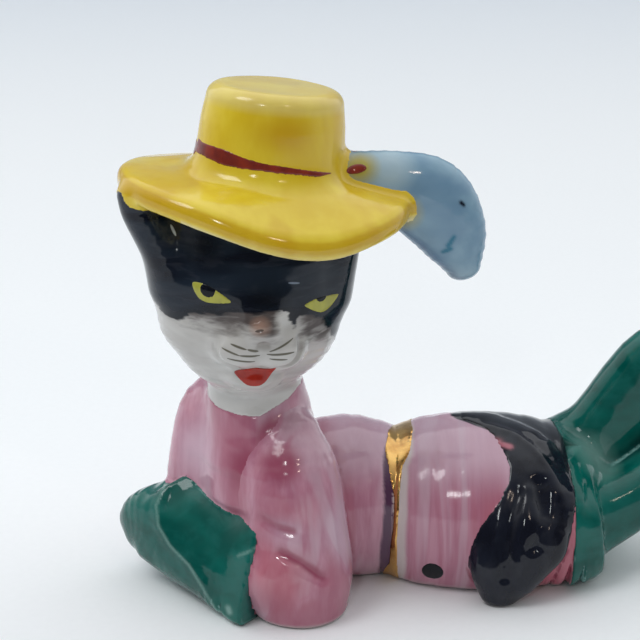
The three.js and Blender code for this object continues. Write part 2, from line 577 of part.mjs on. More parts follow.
const figure = new THREE.Group();
figure.add(
  headGroup,
  piece("neck", "white", cut(solid(neckForm()), headHere(1.3 * gap))),
  piece("jacket_front", "pink", jacketFront()),
  piece("jacket_skirt", "pink", jacketSkirt()),
  piece("belt", "gold", belt()),
  piece("hip_spot", "black", hipSpot()),
  piece("left_gauntlet", "green", cut(solid(leftGauntletForm()), bodyForm(gap), floor)),
  piece("right_gauntlet", "green", cut(solid(rightGauntletForm()), bodyForm(gap), leftGauntletForm(gap), floor)),
  piece("left_sleeve", "pink", sleeve(...leftArmForms())),
  piece("right_sleeve", "pink", sleeve(rightArmForm())),
  piece("tail", "black", cut(solid(tailForm()), bodyForm(gap), floor)),
  piece("left_boot_cuff", "green", cut(solid(leftCuffForm()), bodyForm(gap), tailForm(gap), floor)),
  piece(
    "right_boot_cuff",
    "green",
    cut(solid(rightCuffForm()), bodyForm(gap), tailForm(gap), leftCuffForm(gap), floor),
  ),
  piece("left_boot", "green", cut(solid(leftBootForm()), bodyForm(gap), leftCuffForm(gap), rightCuffForm(gap), floor)),
  piece(
    "right_boot",
    "green",
    cut(solid(rightBootForm()), bodyForm(gap), rightCuffForm(gap), leftCuffForm(gap), leftBootForm(gap)),
  ),
  piece("left_boot_heel", "green", cut(solid(leftHeelForm()), leftBootForm(gap), rightBootForm(gap), floor)),
  piece("right_boot_heel", "green", cut(solid(rightHeelForm()), rightBootForm(gap), leftBootForm(gap))),
);

// The origin is the middle of the figure's base.
const bounds = new THREE.Box3().setFromObject(figure, true);
const middle = bounds.getCenter(new THREE.Vector3());
figure.position.set(-middle.x, -middle.y, -bounds.min.z);

const cat = new THREE.Group();
cat.add(figure);
export default cat;
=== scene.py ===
# A glazed porcelain cat in a plumed hat, jacket, gauntlets and boots, lying on a pale table.
#
# The forms are fields: each gives its distance to a point, in millimetres, in the bench frame. There X runs
# from the hands to the boots, Y away from the viewer and Z up from the table. Neighbouring forms melt into
# each other as wet slip does, and each piece is the part of that one skin that its own form is nearest to.

import math

import bpy
import numpy as np
import openvdb
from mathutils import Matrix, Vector


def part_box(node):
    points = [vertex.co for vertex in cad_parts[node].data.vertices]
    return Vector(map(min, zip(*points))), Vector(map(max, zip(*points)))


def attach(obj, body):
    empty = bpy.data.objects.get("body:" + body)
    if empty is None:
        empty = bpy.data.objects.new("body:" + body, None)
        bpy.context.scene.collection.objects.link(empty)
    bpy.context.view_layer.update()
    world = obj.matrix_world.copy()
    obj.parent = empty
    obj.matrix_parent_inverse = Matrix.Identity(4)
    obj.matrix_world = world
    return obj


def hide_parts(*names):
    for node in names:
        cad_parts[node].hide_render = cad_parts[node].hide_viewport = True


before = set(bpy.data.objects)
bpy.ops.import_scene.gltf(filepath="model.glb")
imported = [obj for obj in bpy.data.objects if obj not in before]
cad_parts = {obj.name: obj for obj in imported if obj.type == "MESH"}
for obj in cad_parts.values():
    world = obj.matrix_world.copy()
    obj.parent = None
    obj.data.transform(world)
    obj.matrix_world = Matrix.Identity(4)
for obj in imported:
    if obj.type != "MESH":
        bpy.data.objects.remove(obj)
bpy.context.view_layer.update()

# ---- Where things are ----

MM = 0.001
SKIN_GRID = 0.36  # millimetres between the points of a large piece's surface
FINE_GRID = 0.25  # of the head and the hat
TRIM_GRID = 0.14  # of eyes, mouth and other small enamel
BAND = 3.0  # how many grid steps of the field are kept on each side of a surface


def box_middle(node):
    low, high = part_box(node)
    return np.array([(a + b) / 2 / MM for a, b in zip(low, high)])


BELT_MIDDLE = np.array([12.3, 0.8, 11.15])  # in the bench frame
HEAD_MIDDLE = np.array([0.3, 0.15, 1.0])  # from the centre that the head's forms are drawn around
bench = box_middle("belt") - BELT_MIDDLE  # the bench frame's origin in the row frame
head_centre = box_middle("head") - bench - HEAD_MIDDLE
HEAD_TURN = math.radians(9)
HEAD_TILT = math.radians(6)


def turn_z(angle):
    c, s = math.cos(angle), math.sin(angle)
    return np.array([[c, -s, 0], [s, c, 0], [0, 0, 1.0]])


def turn_y(angle):
    c, s = math.cos(angle), math.sin(angle)
    return np.array([[c, 0, s], [0, 1.0, 0], [-s, 0, c]])


HEAD_AXES = (turn_z(HEAD_TURN) @ turn_y(HEAD_TILT)).astype(np.float32)


def in_head(points):
    """Bench points in the head's own frame, whose -Y is the way the face looks."""
    return (points - head_centre.astype(np.float32)) @ HEAD_AXES


def from_head(point):
    return head_centre + HEAD_AXES @ np.array(point, float)


CHEST = np.array([-8.0, -5.5, 0.0])
FRONT = np.array([-0.819, -0.574, 0.0])  # the way the chest faces
FLANK = np.array([0.574, -0.819, 0.0])  # towards its left shoulder
UP = np.array([0.0, 0.0, 1.0])


def on_chest(forward, left, up):
    place = CHEST + FRONT * forward + FLANK * left
    return np.array([place[0], place[1], up])


# ---- Forms ----

REACH = 5.0  # a form is only worked out this near to its own box


class Form:
    """A field with a box round its surface. Far from the box it gives the distance to the box instead."""

    def __init__(self, low, high, field):
        self.low = np.array(low, np.float32)
        self.high = np.array(high, np.float32)
        self.field = field

    def __call__(self, points):
        out = np.maximum(np.maximum(self.low - points, points - self.high), 0)
        value = np.sqrt((out * out).sum(1)) + 0.5
        near = value < REACH
        if near.any():
            value[near] = self.field(points[near])
        return value


def limb(stations, side, power=2.0, cuts=4, cap=0.8):
    """A form through oval sections (place, across, over, side), with across measured along the side given."""
    rows = np.array([[*s[0], s[1], s[2], *(s[3] if len(s) > 3 else side)] for s in stations], float)
    ends = np.vstack([2 * rows[0] - rows[1], rows, 2 * rows[-1] - rows[-2]])
    line = []
    for k in range(len(rows) - 1):
        p0, p1, p2, p3 = ends[k : k + 4]
        for i in range(cuts + (k == len(rows) - 2)):
            t = i / cuts
            line.append(
                p1
                + 0.5 * t * (p2 - p0)
                + t * t * (p0 - 2.5 * p1 + 2 * p2 - 0.5 * p3)
                + t**3 * (1.5 * (p1 - p2) + 0.5 * (p3 - p0))
            )
    line = np.array(line)
    spine, sizes, sides = line[:, :3], line[:, 3:5], line[:, 5:8]
    along = np.gradient(spine, axis=0)
    along /= np.linalg.norm(along, axis=1)[:, None]
    sides = sides - (sides * along).sum(1)[:, None] * along
    sides /= np.linalg.norm(sides, axis=1)[:, None]
    others = np.cross(along, sides)
    widest = sizes.max(1)[:, None]

    def field(points):
        best = np.full(len(points), 1e3, np.float32)
        for k in range(len(spine) - 1):
            step = spine[k + 1] - spine[k]
            t = np.clip((points - spine[k]) @ (step / (step @ step)), 0, 1).astype(np.float32)
            off = points - spine[k].astype(np.float32) - t[:, None] * step.astype(np.float32)
            ahead = step / np.linalg.norm(step)
            axes = np.stack([sides[k], sides[k + 1], others[k], others[k + 1], ahead], 1)
            m = off @ axes.astype(np.float32)
            across = sizes[k, 0] + t * (sizes[k + 1, 0] - sizes[k, 0])
            over = sizes[k, 1] + t * (sizes[k + 1, 1] - sizes[k, 1])
            u = np.abs(m[:, 0] * (1 - t) + m[:, 1] * t) / across
            v = np.abs(m[:, 2] * (1 - t) + m[:, 3] * t) / over
            w = m[:, 4] / (np.minimum(across, over) * cap)
            if power == 2.0:
                share = np.sqrt(u * u + v * v + w * w)
            else:
                share = np.sqrt((u**power + v**power) ** (2 / power) + w * w)
            length = np.sqrt((off * off).sum(1))
            best = np.minimum(best, length - length / np.maximum(share, 1e-5))
        return best

    return Form((spine - widest).min(0), (spine + widest).max(0), field)


def ball(centre, half):
    """An ellipsoid with its axes along X, Y and Z."""
    centre = np.array(centre, np.float32)
    half = np.array(half, np.float32)

    def field(points):
        off = points - centre
        share = np.sqrt(((off / half) ** 2).sum(1))
        steep = np.sqrt(((off / half**2) ** 2).sum(1))
        return share * (share - 1) / np.maximum(steep, 1e-5)

    reach = float(half.max())
    return Form(centre - reach, centre + reach, field)


def melt(a, b, reach):
    """Two fields joined, with a fillet in the crease between them."""
    near = np.maximum(reach - np.abs(a - b), 0) / reach
    return np.minimum(a, b) - near * near * reach * 0.25


def trim(a, b, reach):
    """What two fields share, with a rounded edge."""
    return -melt(-a, -b, reach)


FROM_FRONT = np.array([0.0, 0.94, -0.342], np.float32)  # the way that the figure is looked at from in front


def without_depth(points):
    return points - (points @ FROM_FRONT)[:, None] * FROM_FRONT


def groove(points, path, width, depth, flat=False):
    """How much a soft furrow along a path takes off a field. A flat one counts at any depth from in front."""
    nearest = np.full(len(points), 1e3, np.float32)
    path = np.array(path, np.float32)
    if flat:
        points, path = without_depth(points), without_depth(path)
    for a, b in zip(path[:-1], path[1:]):
        step = b - a
        t = np.clip((points - a) @ step / (step @ step), 0, 1)
        nearest = np.minimum(nearest, np.sqrt(((points - a - t[:, None] * step) ** 2).sum(1)))
    return depth * np.exp(-((nearest / width) ** 2))


def ripple(points, size, seed):
    """A soft uneven surface between -1 and 1, with swells of about that size."""
    draw = np.random.default_rng(seed)
    total = 0
    for _ in range(5):
        way = draw.normal(size=3)
        way *= (2 * math.pi / size) * draw.uniform(0.6, 1.3) / np.linalg.norm(way)
        total = total + np.sin(points @ way.astype(np.float32) + draw.uniform(0, 6.28))
    return total / 3.2


# ---- Body ----

body_line = limb([
    ((-9.2, -6.7, 30.5), 7.1, 6.5),
    (on_chest(1.2, 0, 26.7), 9.9, 7.8),
    (on_chest(1.6, 0, 18.0), 11.3, 8.7),
    ((-3.0, -2.3, 11.4), 12.5, 10.7),
    ((4.5, 0.5, 10.5), 12.5, 12.3),
    ((12.2, 0.5, 9.1), 10.7, 11.3),
    ((17.6, 0.2, 9.3), 13.6, 13.2),
    ((25.6, 0.0, 9.3), 14.5, 13.9),
    ((33.6, 0.6, 9.0), 13.3, 12.8),
    ((39.0, 1.5, 8.3), 9.9, 9.3),
], side=(FLANK + np.array([0, -1, 0])) / 2, power=2.2, cuts=3)
neck_line = limb([
    ((-9.0, -6.5, 25.0), 5.3, 5.3),
    ((-9.6, -7.5, 31.0), 6.6, 6.9),
    ((-9.6, -8.0, 38.5), 6.6, 6.6),
], side=(1, 0, 0))
upper_arm = limb([
    (on_chest(0.6, 7.6, 27.0), 4.3, 4.0),
    (on_chest(2.0, 8.8, 21.1), 7.2, 7.2),
    (on_chest(1.9, 10.6, 13.0), 7.5, 7.4),
    (on_chest(1.8, 11.8, 6.2), 7.5, 7.5),
    (on_chest(1.8, 11.8, 0.6), 6.8, 6.8),
], side=FLANK)
forearm = limb([(on_chest(1.8, 11.8, 6.2), 6.3, 6.3), (on_chest(6.4, 10.5, 6.2), 5.6, 5.6)], side=UP)
SLEEVE_FOLDS = [
    [(-8.1, -21.0, 16.8), (-6.4, -21.9, 16.2), (-3.8, -22.4, 15.7)],
    [(-5.5, -22.6, 12.4), (-2.6, -23.2, 11.1), (0.5, -23.0, 8.6)],
]


def sleeve_field(points):
    """The bent left arm, with the folds that the elbow pulls in its sleeve."""
    value = melt(upper_arm(points), forearm(points), 3.0)
    for fold in SLEEVE_FOLDS:
        value = value + groove(points, fold, 0.9, 0.75)
    return value


left_sleeve = Form((-14.0, -25.5, -7.0), (6.5, -5.5, 31.5), sleeve_field)
right_sleeve_line = limb([
    (on_chest(0.6, -6.6, 29.3), 4.6, 4.2),
    (on_chest(1.2, -7.1, 26.5), 6.2, 5.8),
    (on_chest(2.8, -7.8, 23.5), 7.2, 7.2),
    (on_chest(5.6, -7.6, 15.5), 6.6, 6.5),
    (on_chest(7.0, -8.4, 10.5), 5.0, 5.0),
], side=FLANK)

# Each gauntlet is a thick slab in front of the chest, listed from the cuff to the hand.
left_gauntlet_line = limb([
    ((-8.7, -18.9, 7.4), 8.6, 3.5),
    ((-12.6, -16.0, 7.7), 7.2, 3.1),
    ((-15.2, -13.3, 8.5), 7.0, 3.3),
    ((-19.6, -9.0, 10.7), 6.0, 3.4),
    ((-22.4, -5.8, 14.0), 4.3, 2.8),
], side=(-0.41, -0.05, -0.91), power=3.4, cap=0.15)
right_gauntlet_line = limb([
    ((-14.0, -14.0, 4.2), 4.0, 3.6),
    ((-19.5, -9.3, 6.4), 5.6, 4.4),
    ((-24.0, -6.0, 8.6), 6.1, 4.4),
    ((-27.2, -3.7, 7.8), 4.4, 3.4),
    ((-28.6, -2.9, 7.0), 2.6, 2.3),
], side=(-0.2, 0.2, 0.95), power=3.0)
KNUCKLE_RIDGE = [
    (-22.4, -7, 18.2), (-24.5, -8, 13.0), (-24.1, -9.5, 10.4), (-22.3, -11.5, 8.1), (-19.3, -14.5, 6.3),
    (-17.0, -17.5, 3.6), (-15.3, -19, 1.1), (-13.0, -20.5, 0.2),
]
CUFF_RIM = [(-7.6, -21.5, 14.4), (-9.8, -20.2, 10.0), (-12.0, -19.9, 5.0), (-12.5, -20.2, 1.2)]
CUFF_HOLLOW = [(-7.0, -20.6, 12.8), (-8.6, -20.0, 9.0), (-10.2, -19.8, 5.0)]


def gauntlet_field(points):
    """The left gauntlet: its cuff flares to a thin rim."""
    value = left_gauntlet_line(points) - groove(points, CUFF_RIM, 0.8, 0.5)
    return value + groove(points, CUFF_HOLLOW, 1.0, 1.1)


left_gauntlet = Form((-27.0, -25.0, -2.0), (-2.5, -0.5, 20.5), gauntlet_field)

tail_root = limb(
    [((33.0, 9.4, 12.1), 2.6, 2.3), ((24.0, 6.8, 18.9), 2.9, 1.9), ((26.1, 1.5, 21.6), 3.0, 1.5)],
    side=(1, 0, 0),
)
tail_line = limb([
    ((17.3, 3.2, 21.6), 0.9, 0.7, (0, 1, 0)),
    ((21.5, 2.4, 22.2), 1.5, 0.9, (0, 1, 0)),
    ((26.1, 0.6, 22.2), 2.8, 1.4, (0.5, 0.86, 0)),
    ((30.9, -5.8, 20.2), 4.4, 2.2, (1, 0.3, 0)),
    ((31.4, -11.8, 14.0), 6.1, 2.8, (1, 0, 0)),
    ((29.1, -14.2, 8.6), 6.5, 2.8, (1, 0, 0)),
    ((27.3, -14.9, 4.4), 5.0, 2.6, (1, 0, 0)),
    ((26.6, -15.0, 1.2), 3.0, 2.1, (1, 0, 0)),
], side=(1, 0, 0))
TAIL_FURROWS = [
    [(29.0, -12.6, 16.8), (27.9, -14.6, 13.5), (27.0, -16.2, 9.5), (27.2, -17.0, 5.5)],
    [(32.4, -11.4, 17.8), (32.8, -13.8, 14.0), (31.6, -16.0, 10.0)],
]
TAIL_RIDGES = [
    [(30.6, -12.4, 17.6), (30.0, -15.2, 12.5), (29.0, -17.0, 8.0)],
    [(25.6, -2.2, 23.4), (29.2, -4.6, 23.2), (32.2, -7.7, 21.9), (34.0, -9.8, 20.1), (35.2, -12.2, 16.5)],
]


def tail_field(points):
    """The tail's two lengths, with the locks of its fur."""
    value = melt(tail_root(points), tail_line(points), 1.0)
    for furrow in TAIL_FURROWS:
        value = value + groove(points, furrow, 1.1, 0.9)
    for ridge in TAIL_RIDGES:
        value = value - groove(points, ridge, 0.7, 0.4)
    return value + 0.34 * ripple(points, 7.5, 8)


tail = Form((15.5, -18.5, -1.5), (39.5, 13.0, 25.0), tail_field)

LEFT_KNEE = np.array([40.5, -6.0, 7.7])
RIGHT_KNEE = np.array([40.0, 6.5, 11.5])
LEFT_ANKLE = LEFT_KNEE + (15.0, 6.6, 8.1)
LEFT_TOE = LEFT_KNEE + (25.8, 7.2, 13.2)
RIGHT_ANKLE = RIGHT_KNEE + (12.6, -1.4, 20.4)
RIGHT_TOE = LEFT_TOE + (0.0, -2.0, 6.0)

left_cuff_line = limb([
    (LEFT_KNEE + (-6.5, 0.6, 1.4), 8.1, 9.0),
    (LEFT_KNEE + (-2.4, 0.2, 0.2), 7.8, 8.3),
    (LEFT_KNEE + (1.4, 0.4, 0.5), 6.4, 7.0),
], side=(0, 1, 0), power=2.6, cap=0.12)
right_cuff_line = limb([
    (RIGHT_KNEE + (-6.0, 0, -3.4), 7.5, 9.0),
    (RIGHT_KNEE + (-2.0, 0, -1.2), 7.5, 8.8),
    (RIGHT_KNEE + (1.6, 0, 2.4), 6.2, 7.5),
], side=(0, 1, 0), power=2.2)
left_boot_line = limb([
    (LEFT_KNEE + (-1.0, 1.0, 0.4), 5.1, 6.0),
    (LEFT_KNEE * 0.55 + LEFT_ANKLE * 0.45, 4.6, 4.8),
    (LEFT_ANKLE, 4.4, 4.6),
    (LEFT_ANKLE * 0.4 + LEFT_TOE * 0.6, 4.0, 3.7),
    (LEFT_TOE, 2.6, 2.3),
], side=(0, 1, 0), power=2.6)
right_boot_line = limb([
    (RIGHT_KNEE + (-0.5, 0, 1.0), 6.4, 6.9),
    (RIGHT_KNEE * 0.6 + RIGHT_ANKLE * 0.4, 5.5, 6.1),
    (RIGHT_ANKLE, 4.6, 5.1),
    ((RIGHT_ANKLE + RIGHT_TOE) / 2 + (2.2, 0, 2.0), 4.1, 4.0),
    (RIGHT_TOE, 2.7, 2.3),
], side=(0, 1, 0))


def heel_line(foot, away):
    away = np.array(away) / np.linalg.norm(away)
    return limb([(foot, 2.5, 2.5), (foot + away * 7.1, 1.9, 2.0)], side=(0, 1, 0), power=3.0, cap=0.5)


left_heel_line = heel_line(LEFT_ANKLE, (0.62, 0.15, -0.76))
right_heel_line = heel_line(RIGHT_ANKLE, (0.1, 0, 0.99))

# ---- Head and hat, in the head's frame ----

HAT = np.array([1.1, 1.4, 0.0], np.float32)  # the hat's middle
CROWN_FOOT = 16.8  # its height
BRIM = {"radius": 21.0, "depth": 17.4, "half": 1.5}  # half is half its thickness
BRIM_ANGLES = [-180, -136, -119, -104, -91, -76, -67, -53, -22, 0, 90, 180]  # degrees from +X
BRIM_DROPS = [0.5, 1.3, 2.1, 3.6, 4.7, 5.2, 4.9, 3.8, 1.5, 0.7, 2.4, 0.5]
CROWN = [(0.0, 11.1), (3.1, 10.5), (7.4, 10.1), (10.4, 9.6)]  # (height, radius) over its foot
CROWN_MIDDLE, CROWN_HALF = 4.6, 7.8  # height of its middle over its foot, and half its height

skull = limb([
    ((0, -0.8, -12.5), 6.2, 6.7),
    ((0, -0.8, -10.1), 9.9, 9.1),
    ((0.1, -0.4, -6.2), 12.8, 11.0),
    ((0, 0, 0), 13.6, 12.0),
    ((0.2, 0.4, 6.2), 12.9, 11.8),
    ((0, 0.8, 12.0), 12.1, 10.6),
], side=(1, 0, 0), cap=0.35)
left_pad = ball((3.0, -10.6, -5.2), (3.7, 3.4, 3.0))
right_pad = ball((-2.2, -10.6, -5.2), (3.9, 3.4, 3.0))
chin = ball((0.2, -8.9, -10.0), (3.9, 3.0, 2.3))
nose_bridge = limb([((0.3, -10.6, 2.0), 2.4, 1.4), ((0.4, -12.6, -2.2), 2.2, 1.5)], side=(1, 0, 0))
nose_tip = ball((0.4, -12.9, -2.4), (1.7, 1.6, 1.3))

FACE_CREASES = [
    [(6.2, -11.6, -2.6), (5.9, -12.2, -4.6), (4.9, -12.6, -6.6), (3.2, -12.6, -7.6)],
    [(-5.6, -12.2, -3.6), (-6.2, -11.6, -5.2), (-5.2, -11.4, -7.2), (-3.2, -12.0, -7.8)],
    [(0.4, -14.0, -3.6), (0.4, -14.0, -5.2), (0.4, -13.4, -7.0)],
    [(-4.6, -10.6, -9.2), (-3.8, -10.8, -11.0), (-1.7, -11.6, -12.0), (1.2, -11.7, -11.9),
     (3.4, -11.0, -10.6)],
]
left_ear_line = limb(
    [((10.6, -1.0, 1.0), 3.2, 4.8), ((11.4, -1.2, 6.5), 3.1, 4.6), ((12.4, -1.6, 11.5), 2.6, 3.2)],
    side=(1, 0, 0),
)
right_ear_line = limb([
    ((-11.3, -1.0, 1.0), 3.3, 4.8),
    ((-13.6, -1.6, 6.2), 3.1, 4.4),
    ((-16.8, -2.4, 11.2), 2.7, 3.2),
    ((-18.0, -2.6, 13.6), 2.3, 2.4),
], side=(1, 0, 0))


def hat_place(points):
    """Where points are on the hat: the offset from its middle, the share of the brim's radius, the angle."""
    off = points - HAT
    x, y = off[:, 0] / BRIM["radius"], off[:, 1] / BRIM["depth"]
    return off, np.sqrt(x**2 + y**2), np.arctan2(y, x)


def brim_height(share, angle):
    """Height of the brim's middle, at a share of its radius. It droops most in front."""
    away = np.maximum(0, share - 0.5) / 0.5
    turns = [math.radians(a) for a in BRIM_ANGLES]
    drop = 0
    for shift in (-0.12, 0, 0.12):  # three readings side by side soften the corners
        turned = (angle + shift + math.pi) % (2 * math.pi) - math.pi
        drop = drop + np.interp(turned, turns, BRIM_DROPS) / 3
    return CROWN_FOOT - BRIM["half"] - drop * away**1.35


def both_limits(out, over, soft):
    """The field inside two limits at once, with an edge rounded by soft."""
    out, over = out + soft, over + soft
    outside = np.sqrt(np.maximum(out, 0) ** 2 + np.maximum(over, 0) ** 2)
    return outside + np.minimum(np.maximum(out, over), 0) - soft


def brim_field(points):
    off, across, angle = hat_place(points)
    radial = np.sqrt(off[:, 0] ** 2 + off[:, 1] ** 2)
    edge = radial / np.maximum(across, 1e-4)
    half = BRIM["half"] * (1.03 - 0.1 * across)
    lift = (off[:, 2] - brim_height(np.minimum(across, 1.05), angle)) * 0.9
    return both_limits(radial - edge, np.abs(lift) - half, 1.15)


def crown_field(points):
    off = points - HAT
    oval = BRIM["depth"] / BRIM["radius"]
    radial = np.sqrt(off[:, 0] ** 2 + (off[:, 1] / oval) ** 2)
    height = off[:, 2] - CROWN_FOOT
    wall = np.interp(height, *zip(*CROWN))
    return both_limits((radial - wall) * 0.92, np.abs(height - CROWN_MIDDLE) - CROWN_HALF, 2.0)


brim = Form((-20.5, -16.6, 7.0), (22.7, 19.4, 17.5), brim_field)
crown = Form((-10.2, -8.2, 13.0), (12.4, 11.0, 29.4), crown_field)
plume_line = limb([
    ((12.2, 0.4, 18.0), 2.8, 2.7),
    ((18.3, 0.0, 16.7), 3.4, 4.8),
    ((24.4, -0.4, 14.6), 3.5, 6.1),
    ((28.6, -0.5, 9.8), 3.4, 5.0),
    ((30.7, -0.6, 5.1), 2.4, 2.6),
], side=(0, 1, 0))

# ---- The one skin ----

BODY_FORMS = dict(
    body=body_line, neck=neck_line, tail=tail, left_sleeve=left_sleeve, right_sleeve=right_sleeve_line,
    left_gauntlet=left_gauntlet, right_gauntlet=right_gauntlet_line,
    left_boot_cuff=left_cuff_line, left_boot=left_boot_line, left_boot_heel=left_heel_line,
    right_boot_cuff=right_cuff_line, right_boot=right_boot_line, right_boot_heel=right_heel_line,
)
HEAD_FORMS = dict(
    skull=skull, chin=chin, left_pad=left_pad, right_pad=right_pad, nose_bridge=nose_bridge,
    nose_tip=nose_tip, left_ear=left_ear_line, right_ear=right_ear_line,
    brim=brim, crown=crown, plume=plume_line,
)


def distances(points):
    """The distance to every form, by name."""
    near = {name: form(points) for name, form in BODY_FORMS.items()}
    local = in_head(points)
    near.update({name: form(local) for name, form in HEAD_FORMS.items()})
    return near


# What flows together, and how wide the fillet in the crease is, in the order that it is joined
GLOVES = ("left_gauntlet", ("right_gauntlet", 3.0))
NEAR_BOOT = ("left_boot_cuff", ("left_boot", 1.6), ("left_boot_heel", 1.0))
FAR_BOOT = ("right_boot_cuff", ("right_boot", 3.0), ("right_boot_heel", 1.0))
TORSO = ("body", ("neck", 2.5), ("right_sleeve", 3.0), ("left_sleeve", 1.2), ("gloves", 1.0), ("boots", 1.6),
         ("tail", 0.9))
PADS = ("left_pad", ("right_pad", 1.2))
EARS = ("left_ear", ("right_ear", 1.0))
FACE_PARTS = ("skull", ("nose_bridge", 3.0), ("pads", 2.0), ("chin", 1.6), ("nose_tip", 1.6))
HAT_PARTS = ("brim", ("crown", 2.2), ("plume", 1.6))
GRAIN_OF_SKIN = 0.06  # how uneven the whole skin is
FOOT_EDGE = 0.9  # the rounded edge where it meets the table


def flow(fields, parts):
    """The field of a first part, with the others melted onto it in turn."""
    whole = fields[parts[0]]
    for name, reach in parts[1:]:
        whole = melt(whole, fields[name], reach)
    return whole


def skin(near, points):
    """The field of the whole figure, from the distances to its forms."""
    fields = dict(near)
    fields["gloves"] = flow(fields, GLOVES) - groove(points, KNUCKLE_RIDGE, 0.9, 0.45, True)
    fields["boots"] = melt(flow(fields, NEAR_BOOT), flow(fields, FAR_BOOT), 2.0)
    fields["pads"] = flow(fields, PADS)
    face = flow(fields, FACE_PARTS)
    local = in_head(points)
    for crease in FACE_CREASES:
        face = face + groove(local, crease, 0.65, 0.75)
    face = melt(face, flow(fields, EARS), 3.5)
    head = melt(face, flow(fields, HAT_PARTS), 1.2)
    whole = melt(flow(fields, TORSO), head, 1.6) + GRAIN_OF_SKIN * ripple(points, 9.0, 3)
    return trim(whole, -points[:, 2], FOOT_EDGE)


def own_share(near, names, overlap):
    """Where the forms named are nearer than any other one. Same-coloured neighbours overlap unseen."""
    mine = np.minimum.reduce([near[n] for n in names])
    others = np.minimum.reduce([value for n, value in near.items() if n not in names])
    return (mine - others) * 0.6 - overlap


# ---- From a field to a mesh ----


def grid_points(low, counts, step):
    axes = [low[i] + step * np.arange(counts[i], dtype=np.float32) for i in range(3)]
    return np.stack(np.meshgrid(*axes, indexing="ij"), -1).reshape(-1, 3).astype(np.float32)


def refine(values, times):
    """A grid with each step split into that many, by straight lines between the old points."""
    for axis in range(3):
        n = values.shape[axis]
        place = np.arange((n - 1) * times + 1) / times
        left = np.minimum(place.astype(int), n - 2)
        share = (place - left).astype(np.float32)
        share = share.reshape([-1 if i == axis else 1 for i in range(3)])
        values = np.take(values, left, axis) * (1 - share) + np.take(values, left + 1, axis) * share
    return values


def surface(field, low, high, step):
    """The surface where a field is 0, inside a box: points and four-sided faces."""
    low, high = np.array(low, float), np.array(high, float)
    coarse_counts = np.ceil((high - low) / (4 * step)).astype(int) + 1
    coarse = field(grid_points(low, coarse_counts, 4 * step)).reshape(coarse_counts)
    dense = refine(coarse, 4)
    near = np.abs(dense) < 6.5 * step
    where = np.argwhere(near)
    dense[near] = field((low + step * where).astype(np.float32))
    limit = BAND * step
    dense = np.clip(dense, -limit, limit).astype(np.float32)
    for axis in range(3):  # the box's faces are open air, so that the surface closes
        for end in (0, -1):
            rim = [slice(None)] * 3
            rim[axis] = end
            dense[tuple(rim)] = limit
    grid = openvdb.FloatGrid(background=float(limit))
    grid.copyFromArray(dense)
    grid.transform = openvdb.createLinearTransform(voxelSize=step)
    points, quads = grid.convertToQuads(isovalue=0.0)
    return np.array(points, np.float32) + low.astype(np.float32), np.array(quads)


def largest_body(points, quads):
    """The mesh without specks that aren't joined to its main body."""
    label = np.arange(len(points))
    edges = np.vstack([quads[:, [0, 1]], quads[:, [1, 2]], quads[:, [2, 3]]])
    while True:
        new = label.copy()
        lowest = np.minimum(label[edges[:, 0]], label[edges[:, 1]])
        np.minimum.at(new, edges[:, 0], lowest)
        np.minimum.at(new, edges[:, 1], lowest)
        new = new[new]
        if (new == label).all():
            break
        label = new
    names, counts = np.unique(label, return_counts=True)
    main = label == names[counts.argmax()]
    number = np.cumsum(main) - 1
    return points[main], number[quads[main[quads[:, 0]]]]


def slopes(points):
    """The skin's outward direction at each point."""
    step = 0.12
    result = np.empty((len(points), 3), np.float32)
    for axis in range(3):
        shift = np.zeros(3, np.float32)
        shift[axis] = step
        result[:, axis] = skin_at(points + shift) - skin_at(points - shift)
    return result / np.maximum(np.linalg.norm(result, axis=1), 1e-6)[:, None]


def skin_at(points):
    return skin(distances(points), points)


def mesh_piece(name, field, low, high, step, material, slot, replaces=(), maskers=None):
    """A closed mesh of a field, in the row frame, with its masks, its material and its place in the model."""
    points, quads = largest_body(*surface(field, low, high, step))
    mesh = bpy.data.meshes.new(name)
    mesh.from_pydata((points + bench) * MM, [], quads.tolist())
    if maskers is not None:
        for mask, values in paint(points, *maskers).items():
            mesh.attributes.new(mask, "FLOAT", "POINT").data.foreach_set("value", values.astype(np.float32))
    mesh.shade_smooth()
    piece = bpy.data.objects.new(name, mesh)
    bpy.context.scene.collection.objects.link(piece)
    soften = piece.modifiers.new("fired glaze", "SMOOTH")
    soften.factor = 0.5
    soften.iterations = 3
    mesh.materials.append(material)
    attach(piece, "root")
    if replaces:
        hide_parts(*replaces)
    print(name, len(points), "points")
    return piece


# ---- Outlines that the painter followed ----


def rounded(outline, cuts=5):
    """A closed outline through the points given, with soft corners."""
    knots = np.array(outline, float)
    ways = (np.roll(knots, -1, 0) - np.roll(knots, 1, 0)) * 0.42
    curve = []
    for k in range(len(knots)):
        a, b = knots[k], knots[(k + 1) % len(knots)]
        for i in range(cuts):
            t = i / cuts
            curve.append(
                (2 * t**3 - 3 * t**2 + 1) * a
                + (t**3 - 2 * t**2 + t) * ways[k]
                + (3 * t**2 - 2 * t**3) * b
                + (t**3 - t**2) * ways[(k + 1) % len(knots)]
            )
    return np.array(curve, np.float32)


def outline_distance(u, v, outline):
    """The distance from each (u, v) to a closed outline, negative inside it."""
    nearest = np.full(len(u), 1e6, np.float32)
    inside = np.zeros(len(u), bool)
    for (au, av), (bu, bv) in zip(outline, np.roll(outline, -1, 0)):
        du, dv = bu - au, bv - av
        t = np.clip(((u - au) * du + (v - av) * dv) / max(du * du + dv * dv, 1e-9), 0, 1)
        nearest = np.minimum(nearest, (u - au - t * du) ** 2 + (v - av - t * dv) ** 2)
        crosses = (av > v) != (bv > v)
        level = np.where(abs(dv) < 1e-9, 1e-9, dv)
        inside ^= crosses & (u < au + (v - av) * du / level)
    return np.sqrt(nearest) * np.where(inside, -1, 1)


